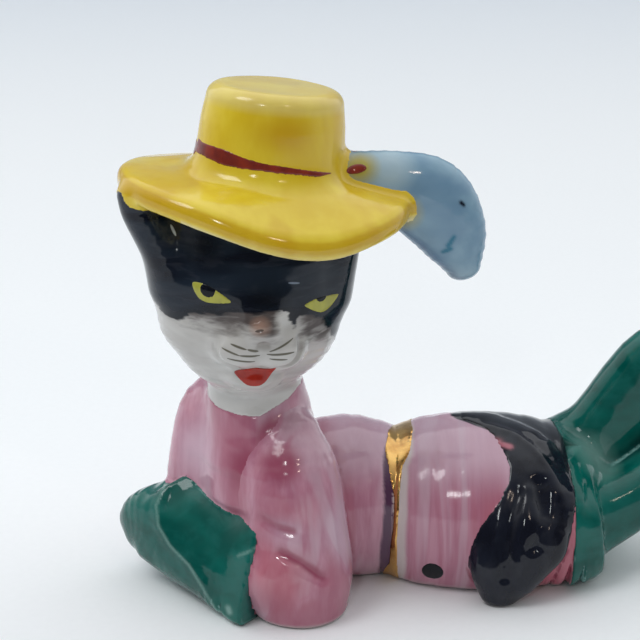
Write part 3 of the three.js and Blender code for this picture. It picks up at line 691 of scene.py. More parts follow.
# (x, z) on the front of the head
RIGHT_EYE = rounded(
    [(-9.5, 3.0), (-8.9, 3.4), (-7.5, 3.3), (-5.8, 2.6), (-4.1, 1.5), (-5.8, 1.0), (-7.3, 0.8), (-8.4, 1.1),
     (-9.1, 1.9)]
)
LEFT_EYE = rounded(
    [(6.0, 1.3), (7.0, 1.9), (8.2, 2.2), (9.7, 2.2), (11.4, 2.1), (10.8, 1.0), (9.9, 0.1), (8.9, -0.2),
     (7.6, 0.3)]
)
MOUTH = rounded(
    [(-2.9, -8.9), (-2.0, -8.1), (-0.3, -7.7), (1.2, -7.8), (2.8, -7.4), (2.2, -8.9), (1.4, -10.0),
     (0.5, -10.5), (-0.9, -10.5), (-1.9, -9.9)]
)
MASK_EDGE = rounded(
    [(-30, 30), (-30, -1.5), (-16.0, -1.2), (-13.9, -1.8), (-12.4, -3.0), (-11.2, -2.9), (-10.3, -2.2),
     (-8.9, -1.2), (-5.0, -0.4), (-1.8, 0.3), (0.8, 0.9), (3.4, 0.9), (4.3, -1.0), (5.0, -1.5), (5.6, -0.3),
     (7.8, -0.7), (9.6, -1.6), (10.9, -3.8), (12.2, -5.6), (13.4, -6.2), (16.0, -6.0), (30, -6.0), (30, 30)],
    cuts=3,
)

# (x, z) on the front of the hat's crown, in the head's frame
BAND_OUTLINE = rounded(
    [(-12.0, 22.0), (-8.8, 21.3), (-6.4, 21.3), (-2.5, 20.5), (3.1, 19.9), (9.2, 18.9), (6.8, 18.5),
     (3.2, 18.8), (-2.3, 19.0), (-6.2, 19.0), (-8.8, 19.4), (-12.0, 19.2)]
)

# (x, y) on the hip from above, in the bench frame
ROOT_OUTLINE = rounded(
    [(20.0, 3.0), (25.0, -3.0), (31.0, -7.0), (36.6, -11.5), (38.2, -6.0), (37.6, 4.0), (36.0, 13.0),
     (26.0, 12.0)]
)

BELT_TURN = math.radians(-7)
WAIST = 12.2  # where the belt's middle crosses the figure's axis


def past_belt(points):
    """How far a point is behind the belt's middle, towards the hips."""
    return (points[:, 0] - WAIST) * math.cos(BELT_TURN) + points[:, 1] * math.sin(BELT_TURN)


def belt_edges(points):
    """The brushed edges of the gold, in front of and behind the belt's middle, at each height."""
    height = points[:, 2]
    fore = np.interp(
        height, [0, 2, 4, 10, 15, 19, 20.5, 25], [-1.9, -1.4, -0.6, 0.05, 0.1, -1.1, -1.8, -1.4]
    )
    aft = np.interp(height, [2, 4, 10, 15, 17, 19, 20.5], [0.9, 0.8, 0.8, 1.0, 1.1, 1.1, 2.1])
    behind = np.clip(points[:, 1] / 4.0, 0, 1)  # the side that faces away has an even band
    wobble = 0.08 * ripple(points, 4.0, 11)
    return fore * (1 - behind) - 1.2 * behind + wobble, aft * (1 - behind) + 1.5 * behind + wobble


# ---- Glazes: groups that several of them share ----


def srgb(red, green, blue):
    """A colour named by its screen values, as light."""
    light = []
    for value in (red / 255, green / 255, blue / 255):
        light.append(value / 12.92 if value <= 0.04045 else ((value + 0.055) / 1.055) ** 2.4)
    return (*light, 1.0)


def put(tree, kind, inputs=None, **settings):
    """A node with its settings, and its inputs set to values or linked to other nodes' outputs."""
    node = tree.nodes.new(kind)
    for key, value in settings.items():
        setattr(node, key, value)
    for key, value in (inputs or {}).items():
        socket = node.inputs[key]
        if isinstance(value, bpy.types.NodeSocket):
            tree.links.new(value, socket)
        else:
            socket.default_value = value
    return node


def math_node(tree, operation, a, b=0.0, clamp=False):
    return put(tree, "ShaderNodeMath", {0: a, 1: b}, operation=operation, use_clamp=clamp).outputs[0]


def vector_node(tree, operation, a, b, output="Vector"):
    """Vector arithmetic. For SCALE, b is a number."""
    second = "Scale" if operation == "SCALE" else 1
    return put(tree, "ShaderNodeVectorMath", {0: a, second: b}, operation=operation).outputs[output]


def noise(tree, place, scale, detail, roughness=0.5, distortion=0.0):
    inputs = {"Vector": place, "Scale": scale, "Detail": detail}
    inputs.update({"Roughness": roughness, "Distortion": distortion})
    return put(tree, "ShaderNodeTexNoise", inputs).outputs["Fac"]


def object_place(tree):
    return put(tree, "ShaderNodeTexCoord").outputs["Object"]


def smooth_step(tree, value, low, high, to_low=0.0, to_high=1.0):
    inputs = {"Value": value, "From Min": low, "From Max": high, "To Min": to_low, "To Max": to_high}
    return put(tree, "ShaderNodeMapRange", inputs, interpolation_type="SMOOTHSTEP").outputs["Result"]


def mix_colour(tree, share, a, b):
    return put(tree, "ShaderNodeMix", {0: share, 6: a, 7: b}, data_type="RGBA").outputs[2]


def new_group(name, inputs, outputs):
    """An empty node group with its sockets: an input's kind follows from its value."""
    tree = bpy.data.node_groups.new(name, "ShaderNodeTree")
    for label, value in inputs.items():
        kind = "NodeSocketVector" if isinstance(value, tuple) else "NodeSocketFloat"
        tree.interface.new_socket(label, in_out="INPUT", socket_type=kind).default_value = value
    for label, kind in outputs.items():
        tree.interface.new_socket(label, in_out="OUTPUT", socket_type=kind)
    return tree, tree.nodes.new("NodeGroupInput").outputs, tree.nodes.new("NodeGroupOutput").inputs


def brush_strokes_group():
    """Streaks of a wide soft brush, long across the stretched axes. Strokes and patches are each 0 to 1."""
    tree, given, out = new_group(
        "brush strokes",
        {"Stretch": (1, 1, 1), "Streaks": 220.0, "Patches": 90.0},
        {"Strokes": "NodeSocketFloat", "Patches": "NodeSocketFloat"},
    )
    drawn = vector_node(tree, "MULTIPLY", object_place(tree), given["Stretch"])
    streaks = noise(tree, drawn, given["Streaks"], 3.0, 0.55, 0.3)
    patches = noise(tree, drawn, given["Patches"], 2.0, 0.5, 0.6)
    tree.links.new(smooth_step(tree, streaks, 0.3, 0.7), out["Strokes"])
    tree.links.new(smooth_step(tree, patches, 0.33, 0.67), out["Patches"])
    return tree


def fired_surface_group():
    """The faint unevenness of a fired glaze, as a normal."""
    tree, given, out = new_group(
        "fired surface",
        {"Ripple": 0.3, "Grain": 0.1, "Strokes": 0.0},
        {"Normal": "NodeSocketVector"},
    )
    place = object_place(tree)
    height = math_node(tree, "MULTIPLY", noise(tree, place, 260.0, 2.0, 0.45), given["Ripple"])
    fine = math_node(tree, "MULTIPLY", noise(tree, place, 1500.0, 2.0), given["Grain"])
    height = math_node(tree, "ADD", height, math_node(tree, "MULTIPLY", fine, 0.12))
    height = math_node(tree, "ADD", height, math_node(tree, "MULTIPLY", given["Strokes"], 0.08))
    bump = put(tree, "ShaderNodeBump", {"Height": height, "Strength": 0.35, "Distance": 0.0006})
    tree.links.new(bump.outputs["Normal"], out["Normal"])
    return tree


def ridge_and_crease_group():
    """Paler on ridges, where the glaze lies thin and a highlight is painted, and darker in creases, where it
    has pooled and shade is painted.
    """
    tree, given, out = new_group(
        "thin edges and pools",
        {"Edge Start": 0.2, "Edge End": 0.6, "Pool Start": 0.12, "Pool End": 0.5},
        {"Thin": "NodeSocketFloat", "Pooled": "NodeSocketFloat"},
    )
    uneven = math_node(tree, "SUBTRACT", noise(tree, object_place(tree), 420.0, 2.0), 0.5)
    uneven = math_node(tree, "MULTIPLY", uneven, 0.35)
    for mask, span, result in (("ridge", "Edge", "Thin"), ("crease", "Pool", "Pooled")):
        shape = math_node(tree, "ADD", attribute(tree, mask), uneven)
        tree.links.new(smooth_step(tree, shape, given[span + " Start"], given[span + " End"]), out[result])
    return tree


def painted_line_group():
    """One stroke of a fine brush between two places: 1 on the line, 0 away from it, at any depth."""
    tree, given, out = new_group(
        "painted line",
        {"From": (0, 0, 0), "To": (0, 0, 0.001), "Width": 0.0003, "Across": (0, 1, 0)},
        {"Line": "NodeSocketFloat"},
    )
    start, across = given["From"], given["Across"]
    off = vector_node(tree, "SUBTRACT", object_place(tree), start)
    sink = vector_node(tree, "DOT_PRODUCT", off, across, "Value")
    off = vector_node(tree, "SUBTRACT", off, vector_node(tree, "SCALE", across, sink))
    step = vector_node(tree, "SUBTRACT", given["To"], start)
    reach = vector_node(tree, "DOT_PRODUCT", off, step, "Value")
    whole = vector_node(tree, "DOT_PRODUCT", step, step, "Value")
    share = math_node(tree, "DIVIDE", reach, whole, clamp=True)
    away = vector_node(tree, "DISTANCE", off, vector_node(tree, "SCALE", step, share), "Value")
    from_middle = math_node(tree, "SUBTRACT", math_node(tree, "MULTIPLY", share, 2.0), 1.0)
    from_middle = math_node(tree, "POWER", math_node(tree, "ABSOLUTE", from_middle), 3.0)
    taper = math_node(tree, "MULTIPLY", math_node(tree, "SUBTRACT", 1.0, from_middle), 0.6)
    width = math_node(tree, "MULTIPLY", given["Width"], math_node(tree, "ADD", taper, 0.4))
    inner = math_node(tree, "MULTIPLY", width, 0.35)
    tree.links.new(smooth_step(tree, away, inner, width, 1.0, 0.0), out["Line"])
    return tree


def attribute(tree, name):
    return put(tree, "ShaderNodeAttribute", attribute_name=name).outputs["Fac"]


BRUSH = brush_strokes_group()
FIRED = fired_surface_group()
EDGES = ridge_and_crease_group()
LINE = painted_line_group()


def use(tree, group, inputs):
    """The outputs of a group placed in a material with its own values."""
    return put(tree, "ShaderNodeGroup", inputs, node_tree=group).outputs


def new_glaze(name, coat=0.1, metallic=0.0, specular=0.5):
    """A material with an empty glossy shader: the material, its tree, and the shader to feed."""
    material = bpy.data.materials.new(name)
    material.use_nodes = True
    tree = material.node_tree
    tree.nodes.clear()
    shader = put(tree, "ShaderNodeBsdfPrincipled", {
        "Metallic": metallic, "Coat Weight": coat, "Coat Roughness": 0.04, "Specular IOR Level": specular,
    })
    output = tree.nodes.new("ShaderNodeOutputMaterial")
    tree.links.new(shader.outputs[0], output.inputs["Surface"])
    return material, tree, shader


def finish_glaze(tree, shader, colour, strokes, ripples, grain, roughness):
    """Feeds the shader: the colour, the glaze's unevenness, and a roughness that varies with the strokes."""
    normal = use(tree, FIRED, {"Ripple": ripples, "Grain": grain, "Strokes": strokes})["Normal"]
    tree.links.new(colour, shader.inputs["Base Color"])
    tree.links.new(normal, shader.inputs["Normal"])
    tree.links.new(smooth_step(tree, strokes, 0.0, 1.0, *roughness), shader.inputs["Roughness"])


# ---- The glazes ----


def marks_of(tree, stretch, streaks, patches, edge, pool=(0.12, 0.5)):
    """A material's brush marks and edges, by name. Edge and pool are where each starts and is full."""
    brushed = use(tree, BRUSH, {"Stretch": stretch, "Streaks": streaks, "Patches": patches})
    spans = {"Edge Start": edge[0], "Edge End": edge[1], "Pool Start": pool[0], "Pool End": pool[1]}
    edges = use(tree, EDGES, spans)
    return {socket.name: socket for socket in [*brushed, *edges]}


def coated(tree, marks, colour, coats):
    """A colour with coats over it. A coat is (mark or mask, colour), then any spans for smooth_step."""
    for source, tone, *spans in coats:
        share = marks[source] if source in marks else attribute(tree, source)
        if spans:
            share = smooth_step(tree, share, *spans)
        colour = mix_colour(tree, share, colour, srgb(*tone))
    return colour


def brushed_glaze(name, marks, base, coats, ripples, grain, roughness, specular=0.5):
    """A glaze of two base colours, (mark, first, second), with coats over them."""
    material, tree, shader = new_glaze(name, specular=specular)
    marks = marks_of(tree, *marks)
    colour = mix_colour(tree, marks[base[0]], srgb(*base[1]), srgb(*base[2]))
    colour = coated(tree, marks, colour, coats)
    finish_glaze(tree, shader, colour, marks["Strokes"], ripples, grain, roughness)
    return material


def pink_glaze(name, stretch, shift=0.0):
    """Lustre pink, thinly laid over white porcelain: streaky, paler on ridges from thin glaze and a painted
    highlight, and darker in the creases from pooled glaze and painted shade.
    """
    return brushed_glaze(
        name,
        (stretch, 420.0 + shift, 120.0 + shift, (0.25, 0.8), (0.16, 0.6)),
        ("Strokes", (192, 138, 156), (172, 108, 130)),
        [
            ("Patches", (168, 92, 112), 0.5, 1, 0.0, 0.6),
            ("Patches", (200, 172, 184), 0.0, 0.4, 0.55, 0.0),
            ("rosy", (186, 92, 104), 0, 1, 0.0, 0.7),
            # pale lilac painted highlight
            ("lilac", (204, 178, 194), 0, 1, 0.0, 0.7),
            ("Thin", (222, 206, 212), 0, 1, 0.0, 0.75),
            ("Pooled", (140, 52, 74), 0, 1, 0.0, 0.8),
            # painted shade: darker pink in the folds and under the head
            ("deep", (148, 66, 90), 0, 1, 0.0, 0.85),
            ("bare", (208, 196, 194)),
            ("plum", (84, 52, 78)),
            ("black", (18, 20, 30)),
        ],
        0.35, 0.12, (0.1, 0.2),
    )


def face_glaze(lines):
    """White porcelain with the black of the mask brushed on it, dragged out grey at its lower edge."""
    material, tree, shader = new_glaze("face glaze", specular=0.28)
    marks = marks_of(tree, (0.25, 0.25, 1.0), 900.0, 260.0, (0.4, 1.0))
    white = mix_colour(tree, marks["Patches"], srgb(206, 204, 200), srgb(190, 187, 183))
    # greyer in the creases: pooled glaze and painted shade
    white = coated(tree, marks, white, [("Pooled", (142, 136, 128), 0, 1, 0.0, 0.55)])
    uneven = math_node(tree, "SUBTRACT", marks["Strokes"], 0.5)
    smear = math_node(tree, "ADD", attribute(tree, "smear"), math_node(tree, "MULTIPLY", uneven, 0.5))
    smear = math_node(tree, "MULTIPLY", smooth_step(tree, smear, 0.1, 1.1), 0.95)
    white = mix_colour(tree, smear, white, srgb(70, 60, 58))
    white = coated(tree, marks, white, [("blush", (190, 150, 130))])
    black = mix_colour(tree, marks["Patches"], srgb(12, 16, 28), srgb(28, 38, 50))
    black = coated(tree, marks, black, [("Strokes", (52, 56, 66), 0.5, 1, 0.0, 0.35)])
    # deeper black: painted shade, and the dark outline of the mask
    soot = math_node(tree, "MULTIPLY", attribute(tree, "soot"), 0.8)
    black = mix_colour(tree, soot, black, srgb(4, 5, 9))
    edge = math_node(tree, "ADD", attribute(tree, "mask"), math_node(tree, "MULTIPLY", uneven, 0.7))
    colour = mix_colour(tree, smooth_step(tree, edge, -0.25, 0.25, 1.0, 0.0), white, black)
    across = tuple(float(v) for v in HEAD_AXES[:, 1])
    for start, end, width, tone in lines:
        line = use(tree, LINE, {"From": start, "To": end, "Width": width, "Across": across})["Line"]
        line = math_node(tree, "MULTIPLY", line, attribute(tree, "front"))
        colour = mix_colour(tree, line, colour, srgb(*tone))
    finish_glaze(tree, shader, colour, marks["Patches"], 0.25, 0.08, (0.07, 0.13))
    return material


def plain_glaze(name, low, high, roughness=(0.08, 0.15), metallic=0.0, streaks=420.0, coat=0.1, specular=0.4):
    """A small enamel of two near colours."""
    material, tree, shader = new_glaze(name, coat, metallic, specular)
    marks = use(tree, BRUSH, {"Stretch": (1.0, 1.0, 0.6), "Streaks": streaks, "Patches": 300.0})
    colour = mix_colour(tree, marks["Strokes"], srgb(*low), srgb(*high))
    finish_glaze(tree, shader, colour, marks["Patches"], 0.3, 0.1, roughness)
    return material


# ---- Masks on the skin ----


def shape_masks(points):
    """(ridge, crease) of the skin at each point: how sharply it bends out, and in."""
    depth = 1.5
    out = slopes(points)
    ridge = np.clip(1 + skin_at(points - out * depth) / depth, 0, 1)
    crease = np.clip(1 - skin_at(points + out * depth) / depth, 0, 1)
    return ridge, crease


def spot(points, centre, radius, soft=1.0):
    """1 within radius of a place, fading to 0 over the soft width."""
    away = np.sqrt(((points - np.array(centre, np.float32)) ** 2).sum(1))
    return np.clip((radius + soft - away) / soft, 0, 1)


def line_mask(points, path, radius, soft=0.6, flat=False):
    return np.clip(groove(points, path, radius, 1.0, flat) * (1 + soft), 0, 1)


def most(*masks):
    return np.maximum.reduce(masks)


ARM_CREASE = [(-1.3, -14.4, 29.0), (1.4, -15.6, 25.2), (3.4, -17.0, 13.0), (4.6, -17.2, 3.0)]


def jacket_masks(points):
    past = past_belt(points)
    fore, aft = belt_edges(points)
    height = points[:, 2]
    shown = np.clip((6 - points[:, 1]) / 6, 0, 1)
    plum_width = np.interp(height, [0, 4, 10, 15, 19, 21], [0.5, 1.6, 1.7, 1.6, 0.9, 0.0])
    plum = np.clip((past - fore + plum_width) / 0.35, 0, 1) * (past < 0) * shown
    bare_width = np.interp(height, [0, 4, 13, 18, 20, 22], [1.1, 1.5, 1.6, 1.2, 0.8, 0.3])
    bare = np.clip((aft + bare_width - past) / 0.5, 0, 1) * (past > 0) * shown
    low = np.clip((1.4 - height) / 1.2, 0, 1) * 0.6
    # painted shade: darker pink on the chest under the head and along the crease where the left sleeve meets
    # the body
    deep = [
        spot(points, (-9.0, -15.5, 22.0), 2.6, 3.0),
        spot(points, (-6.4, -15.5, 27.0), 2.0, 2.5),
        spot(points, (-3.4, -15.5, 25.5), 1.8, 2.5),
        spot(points, (-7.6, -17.5, 20.0), 1.2, 2.0),
        line_mask(points, ARM_CREASE, 0.5),
    ]
    # painted highlight: paler lilac on the upper chest and the top of the hip, where the light falls from
    # above, and a pale patch near the far shoulder
    lilac = np.clip((height - 15.0) / 6.0, 0, 1) * np.clip((points[:, 0] + 2.0) / 5.0, 0, 1)
    lilac = np.maximum(lilac, spot(points, (-21.0, -11.0, 23.0), 3.0, 5.0)) * 0.8
    rosy = np.clip((past - 9.0) / 9.0, 0, 1) * np.clip((18.0 - height) / 4.0, 0, 1) * 0.7
    return {"plum": plum, "bare": np.maximum(bare, low), "deep": most(*deep), "lilac": lilac, "rosy": rosy}


def sleeve_masks(points):
    # painted shade: darker pink in the elbow's folds, where the sleeve meets the gauntlet, and under the head
    deep = most(
        line_mask(points, SLEEVE_FOLDS[0], 0.55),
        line_mask(points, SLEEVE_FOLDS[1], 0.6),
        spot(points, (-6.5, -21.0, 5.0), 1.6, 3.0) * 0.8,
        spot(points, (-5.5, -19.0, 24.5), 1.6, 2.5),
    )
    bare = np.clip((1.0 - points[:, 2]) / 0.8, 0, 1) * 0.8
    rosy = spot(points, (-6.0, -22.0, 8.5), 2.5, 5.0) * 0.7
    rosy = most(rosy, spot(points, (-3.0, -20.0, 18.0), 1.0, 4.0) * 0.5)
    # painted highlights: pale lilac patches on the sleeve
    lilac = spot(points, (3.5, -17.5, 14.0), 2.5, 5.0) * 0.7
    lilac = most(lilac, spot(points, (-4.5, -20.0, 15.0), 1.5, 3.0) * 0.7)
    return {"bare": bare, "deep": deep, "rosy": rosy, "lilac": lilac}


def tail_masks(points):
    wedge = line_mask(points, [(23.6, -5.4, 21.6), (26.4, -6.0, 22.0)], 0.75, 1.2)
    tip = line_mask(points, [(26.4, -6.0, 22.0), (28.4, -7.0, 21.9)], 0.4, 1.2)
    return {"pink notch": most(wedge, tip)}


def hip_masks(points):
    """The black of the tail's root, brushed over the top of the hip."""
    reach = outline_distance(points[:, 0], points[:, 1], ROOT_OUTLINE)
    return {"black": np.clip(-reach / 0.12, 0, 1) * (points[:, 2] > 9.0)}


def boot_masks(points):
    # a painted highlight on the knee, where the boot cuffs bulge
    return {"worn": spot(points, (41.0, -1.0, 16.0), 2.0, 4.0) * 0.8}


def glove_masks(points):
    """Pale lines painted as highlights along the knuckles and the cuff's rim, and a chip at the rim's foot.
    """
    rim_top = [(-10.4, -19.0, 16.0), (-7.6, -21.5, 14.4), (-8.2, -21.0, 13.0)]
    rim_front = [(-8.2, -21, 13.0), (-10.2, -20.0, 11.4), (-11.8, -19, 10.2)]
    return {"worn": most(
        line_mask(points, [(-13.4, -20.0, 2.2), (-13.2, -20.2, 1.7)], 0.4, 0.2, True),
        line_mask(points, KNUCKLE_RIDGE, 0.22, 0.2, True) * 0.6,
        line_mask(points, rim_top, 0.2, 0.2, True) * 0.7,
        line_mask(points, rim_front, 0.2, 0.2, True) * 0.6,
    )}


def hat_masks(points):
    local = in_head(points)
    off, across, angle = hat_place(local)
    lift = off[:, 2] - brim_height(np.minimum(across, 1.0), angle)
    height = off[:, 2] - CROWN_FOOT
    # rim: painted shade, a darker line along the brim's rim
    rim = np.clip((across - 0.925) / 0.03, 0, 1) * np.clip((lift + 0.7) / 0.4, 0, 1)
    rim = rim * np.clip((1.5 - lift) / 0.3, 0, 1) * (height < 0.4)
    # low: a painted highlight, a paler band on the underside of the brim's outer part
    low = np.clip((-lift - 0.5) / 0.8, 0, 1) * (height < 0) * (across > 0.6) * (local[:, 0] > -12.0)
    # centre: painted shade on the front of the crown
    centre = np.exp(-(((off[:, 0] - 0.5) / 5.0) ** 2) - ((height - 7.5) / 3.0) ** 2) * (off[:, 1] < 0)
    # edge: a painted highlight along the top edge of the crown
    edge = np.clip((height - 9.6) / 1.2, 0, 1)
    return {"deep": most(rim * 0.65, centre * 0.8), "bare": most(low * 0.85, edge * 0.3)}


def plume_masks(points):
    local = in_head(points)
    stain = most(spot(local, (19.8, -3.5, 13.2), 1.2, 2.4) * 0.85, spot(local, (13.2, -2.6, 19.5), 1.2, 2.2))
    fleck = most(
        line_mask(local, [(26.6, -3.6, 7.8), (27.6, -3.6, 8.6)], 0.35),
        line_mask(local, [(27.2, -3.8, 9.0), (27.8, -3.8, 10.4)], 0.35),
    )
    speck = line_mask(local, [(28.3, -3.6, 15.4), (28.8, -3.6, 15.1)], 0.28)
    # paler near the root and towards the hanging end
    worn = most(spot(local, (17.5, -2.6, 19.5), 1.5, 3.0), np.clip((6.5 - local[:, 2]) / 4, 0, 1)) * 0.8
    return {"stain": stain, "fleck": fleck, "speck": speck, "worn": worn}


def face_masks(points):
    local = in_head(points)
    x, y, z = local[:, 0], local[:, 1], local[:, 2]
    mask = outline_distance(x, z, MASK_EDGE)
    behind = np.clip((y + 2.0) / 2.0, 0, 1)  # at the back the black reaches down to the nape
    mask = np.where(y > -2.0, mask * (1 - behind) + (-(z + 9.0)) * behind, mask)
    smear = np.clip((z + 4.2) / 3.6, 0, 1) * np.clip((x + 14.5) / 2, 0, 1) * np.clip((3.4 - x) / 2, 0, 1)
    left_cheek = np.clip((x - 4.2) / 3.0, 0, 1) * np.clip((z + 6.4) / 4.4, 0, 1)
    blush = spot(local, (-0.2, -13.4, -1.2), 0.6, 1.2) * 0.55
    # a deeper black painted as shade between the eyes and under the brim above the right eye, and a dark
    # outline along the mask's edge
    soot = most(
        np.exp(-(((x - 0.2) / 3.4) ** 2) - ((z - 2.4) / 1.5) ** 2),
        np.exp(-(((x + 8.2) / 2.2) ** 2) - ((z - 8.4) / 2.4) ** 2),
        np.exp(-((mask / 0.9) ** 2)) * 0.7,
    )
    return {"mask": mask, "smear": most(smear, left_cheek) * (y < -1), "blush": blush, "soot": soot * (y < 0),
            "front": (y < -2).astype(float)}


def paint(points, *maskers):
    """All the masks that a piece's material reads, worked out once for its points."""
    ridge, crease = shape_masks(points)
    found = {"ridge": ridge, "crease": crease}
    for masker in maskers:
        found.update(masker(points))
    return found


# ---- Pieces ----


BOOT_TOP = 37.4  # how far along the figure the boots start
NECKLINE = 30.7  # its height under the chin


def neckline(points):
    """How far a point is above the jacket's neckline."""
    x, y, z = points[:, 0], points[:, 1], points[:, 2]
    line = NECKLINE + 0.42 * np.maximum(0, x + 8.5) + 0.06 * (y + 15)
    return z - line - 0.15 * ripple(points, 6.0, 21)


def past_boot_top(points):
    """How far a point is past the top edge of the boots."""
    return points[:, 0] - BOOT_TOP + 0.08 * (points[:, 1] + 4) - 0.1 * ripple(points, 6.0, 22)


def node_box(node, margin=1.8):
    low, high = (np.array(corner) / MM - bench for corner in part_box(node))
    return low - margin, high + margin


def cast(name, forms, material, slot, step=SKIN_GRID, thick=0.0, overlap=0.5, limits=(), maskers=()):
    """A piece of the skin: where its forms are the nearest ones, up to its limits."""

    def field(points):
        near = distances(points)
        value = np.maximum(skin(near, points) - thick, own_share(near, forms, overlap))
        for limit in limits:
            value = np.maximum(value, limit(points))
        return value

    low, high = node_box(name)
    return mesh_piece(name, field, low, high, step, material, slot, [name], maskers=maskers)


def enamel(name, region, box, material, slot, nodes=(), thick=0.1, step=TRIM_GRID):
    """A thin raised enamel on the skin, inside a region that is a field too."""

    def field(points):
        base = skin_at(points)
        return np.maximum(trim(base - thick, region(points), 0.12), -(base + 0.7))

    return mesh_piece(name, field, *box, step, material, slot, nodes)


def on_face(outline):
    """The region behind an outline drawn on the front of the head."""

    def region(points):
        local = in_head(points)
        return np.maximum(outline_distance(local[:, 0], local[:, 2], outline), local[:, 1] + 3.0)

    return region


def face_box(low, high, margin=0.8):
    """The bench box round a box in the head's frame."""
    xs, ys, zs = zip(low, high)
    corners = np.array([from_head((x, y, z)) for x in xs for y in ys for z in zs])
    return corners.min(0) - margin, corners.max(0) + margin


def row_place(across, up):
    """A place on the front of the head, in metres in the row frame."""
    return tuple((from_head((across, -13.0, up)) + bench) * MM)


PINK_FRONT = pink_glaze("pink glaze, jacket front", (1.3, 0.5, 0.22))
PINK_SKIRT = pink_glaze("pink glaze, jacket skirt", (1.5, 0.2, 0.13), 20.0)
PINK_SLEEVE = pink_glaze("pink glaze, sleeves", (1.1, 0.9, 0.3), 35.0)
GREEN = brushed_glaze(  # deep blue-green, milky on ridges where it is thin and a highlight is painted
    "green glaze",
    ((0.6, 1.0, 1.0), 260.0, 150.0, (0.3, 0.85), (0.2, 0.8)),
    ("Patches", (0, 78, 70), (10, 98, 88)),
    [
        ("Strokes", (30, 106, 98), 0.2, 1, 0.0, 0.5),
        ("Pooled", (10, 58, 58), 0, 1, 0.0, 0.7),
        ("Thin", (128, 178, 172), 0, 1, 0.0, 0.8),
        # painted highlights on the knuckles, the cuff's rim and the knee, and a chip at the cuff's foot
        ("worn", (120, 158, 150)),
    ],
    0.4, 0.1, (0.07, 0.14), specular=0.32,
)
BLACK = brushed_glaze(
    "black glaze",
    ((1.0, 1.0, 0.5), 300.0, 200.0, (0.3, 0.9)),
    ("Patches", (13, 15, 26), (26, 30, 42)),
    [
        ("Strokes", (40, 42, 50), 0.3, 1, 0.0, 0.5),
        # bluish on ridges, from thin glaze and a painted reflection
        ("Thin", (84, 90, 110), 0, 1, 0.0, 0.4),
        ("pink notch", (176, 108, 120)),
    ],
    0.5, 0.1, (0.06, 0.16), specular=0.3,
)
YELLOW = brushed_glaze(  # lemon over ochre: the brush left it thin and pale on the edges, and highlights are painted on them too
    "yellow glaze",
    ((1.0, 1.0, 0.45), 190.0, 110.0, (0.45, 1.0), (0.15, 0.8)),
    ("Strokes", (232, 206, 58), (220, 188, 34)),
    [
        ("Patches", (206, 164, 20), 0.4, 1, 0.0, 0.45),
        ("Pooled", (196, 152, 24), 0, 1, 0.0, 0.5),
        # painted shade on the front of the crown and along the brim's rim
        ("deep", (196, 148, 12), 0, 1, 0.0, 0.8),
        ("Thin", (240, 226, 140), 0, 1, 0.0, 0.35),
        # painted highlights under the brim's outer part and along the crown's top edge
        ("bare", (232, 222, 170)),
    ],
    0.3, 0.1, (0.1, 0.2),
)
BLUE = brushed_glaze(
    "pale blue glaze",
    ((0.6, 1.0, 0.8), 200.0, 120.0, (0.4, 1.0)),
    ("Strokes", (138, 170, 188), (112, 148, 172)),
    [
        ("Patches", (98, 132, 160), 0.4, 1, 0.0, 0.6),
        # paler near the plume's root and its hanging end
        ("worn", (170, 192, 202)),
        ("Thin", (186, 206, 216), 0, 1, 0.0, 0.5),
        ("stain", (176, 164, 76)),
        ("fleck", (34, 112, 140)),
        ("speck", (20, 26, 40)),
    ],
    0.3, 0.1, (0.1, 0.18),
)
WHISKER = (104, 100, 88)
FACE_LINES = [
    # from and to, as (x, z) on the front of the head, then the width in millimetres and the colour
    ((-4.0, -3.9), (-1.9, -4.4), 0.24, WHISKER),
    ((-1.7, -4.4), (-0.2, -4.7), 0.28, WHISKER),
    ((-5.1, -4.7), (-2.8, -5.3), 0.22, WHISKER),
    ((-2.8, -5.3), (0.1, -5.4), 0.24, WHISKER),
    ((-4.3, -6.0), (-0.5, -6.3), 0.22, WHISKER),
    ((1.4, -4.6), (4.6, -2.9), 0.22, WHISKER),
    ((1.1, -5.1), (4.8, -4.6), 0.24, WHISKER),
    ((1.5, -5.7), (3.9, -5.6), 0.2, WHISKER),
    ((-0.9, -1.6), (0.1, -1.3), 0.26, (96, 84, 78)),
    ((-12.6, 9.9), (-11.9, 8.7), 0.26, (186, 194, 200)),
    ((3.4, 4.7), (5.0, 4.6), 0.2, (120, 132, 150)),
]
FACE = face_glaze([(row_place(*a), row_place(*b), width * MM, tone) for a, b, width, tone in FACE_LINES])
GOLD = plain_glaze("gilding", (222, 178, 106), (190, 140, 78), (0.14, 0.26), 1.0, coat=0.2)
RED = plain_glaze("mouth glaze", (178, 44, 26), (140, 26, 16))
RUST = plain_glaze("brown-red glaze", (140, 50, 34), (112, 40, 34), streaks=600.0)
EYE = plain_glaze("eye glaze", (186, 184, 74), (160, 158, 66))
PUPIL = plain_glaze("pupil glaze", (8, 10, 18), (16, 20, 30), specular=0.2)

BELT_SEAM = 0.25  # from the belt's middle to each body casting
PIECE_SEAM = 0.3  # between the jacket and the neck, and between the skirt and the boots


def skirt_side(points):
    return -past_belt(points) - BELT_SEAM


def front_side(points):
    return past_belt(points) - BELT_SEAM


def above_neckline(points):
    return -neckline(points) - PIECE_SEAM


def behind_boot_top(points):
    return -past_boot_top(points) - PIECE_SEAM


BODY = ["body", "neck"]
CUFFS = ["left_boot_cuff", "right_boot_cuff"]
SKIRT = ["body", *CUFFS, "left_boot", "right_boot"]
PORCELAIN = {"material": FACE, "slot": "white_glaze", "step": FINE_GRID, "maskers": [face_masks]}
BOOT_GREEN = {"material": GREEN, "slot": "green_glaze", "thick": 0.06, "maskers": [boot_masks]}
HAT_YELLOW = {"material": YELLOW, "slot": "yellow_glaze", "step": FINE_GRID, "thick": 0.08,
              "maskers": [hat_masks]}

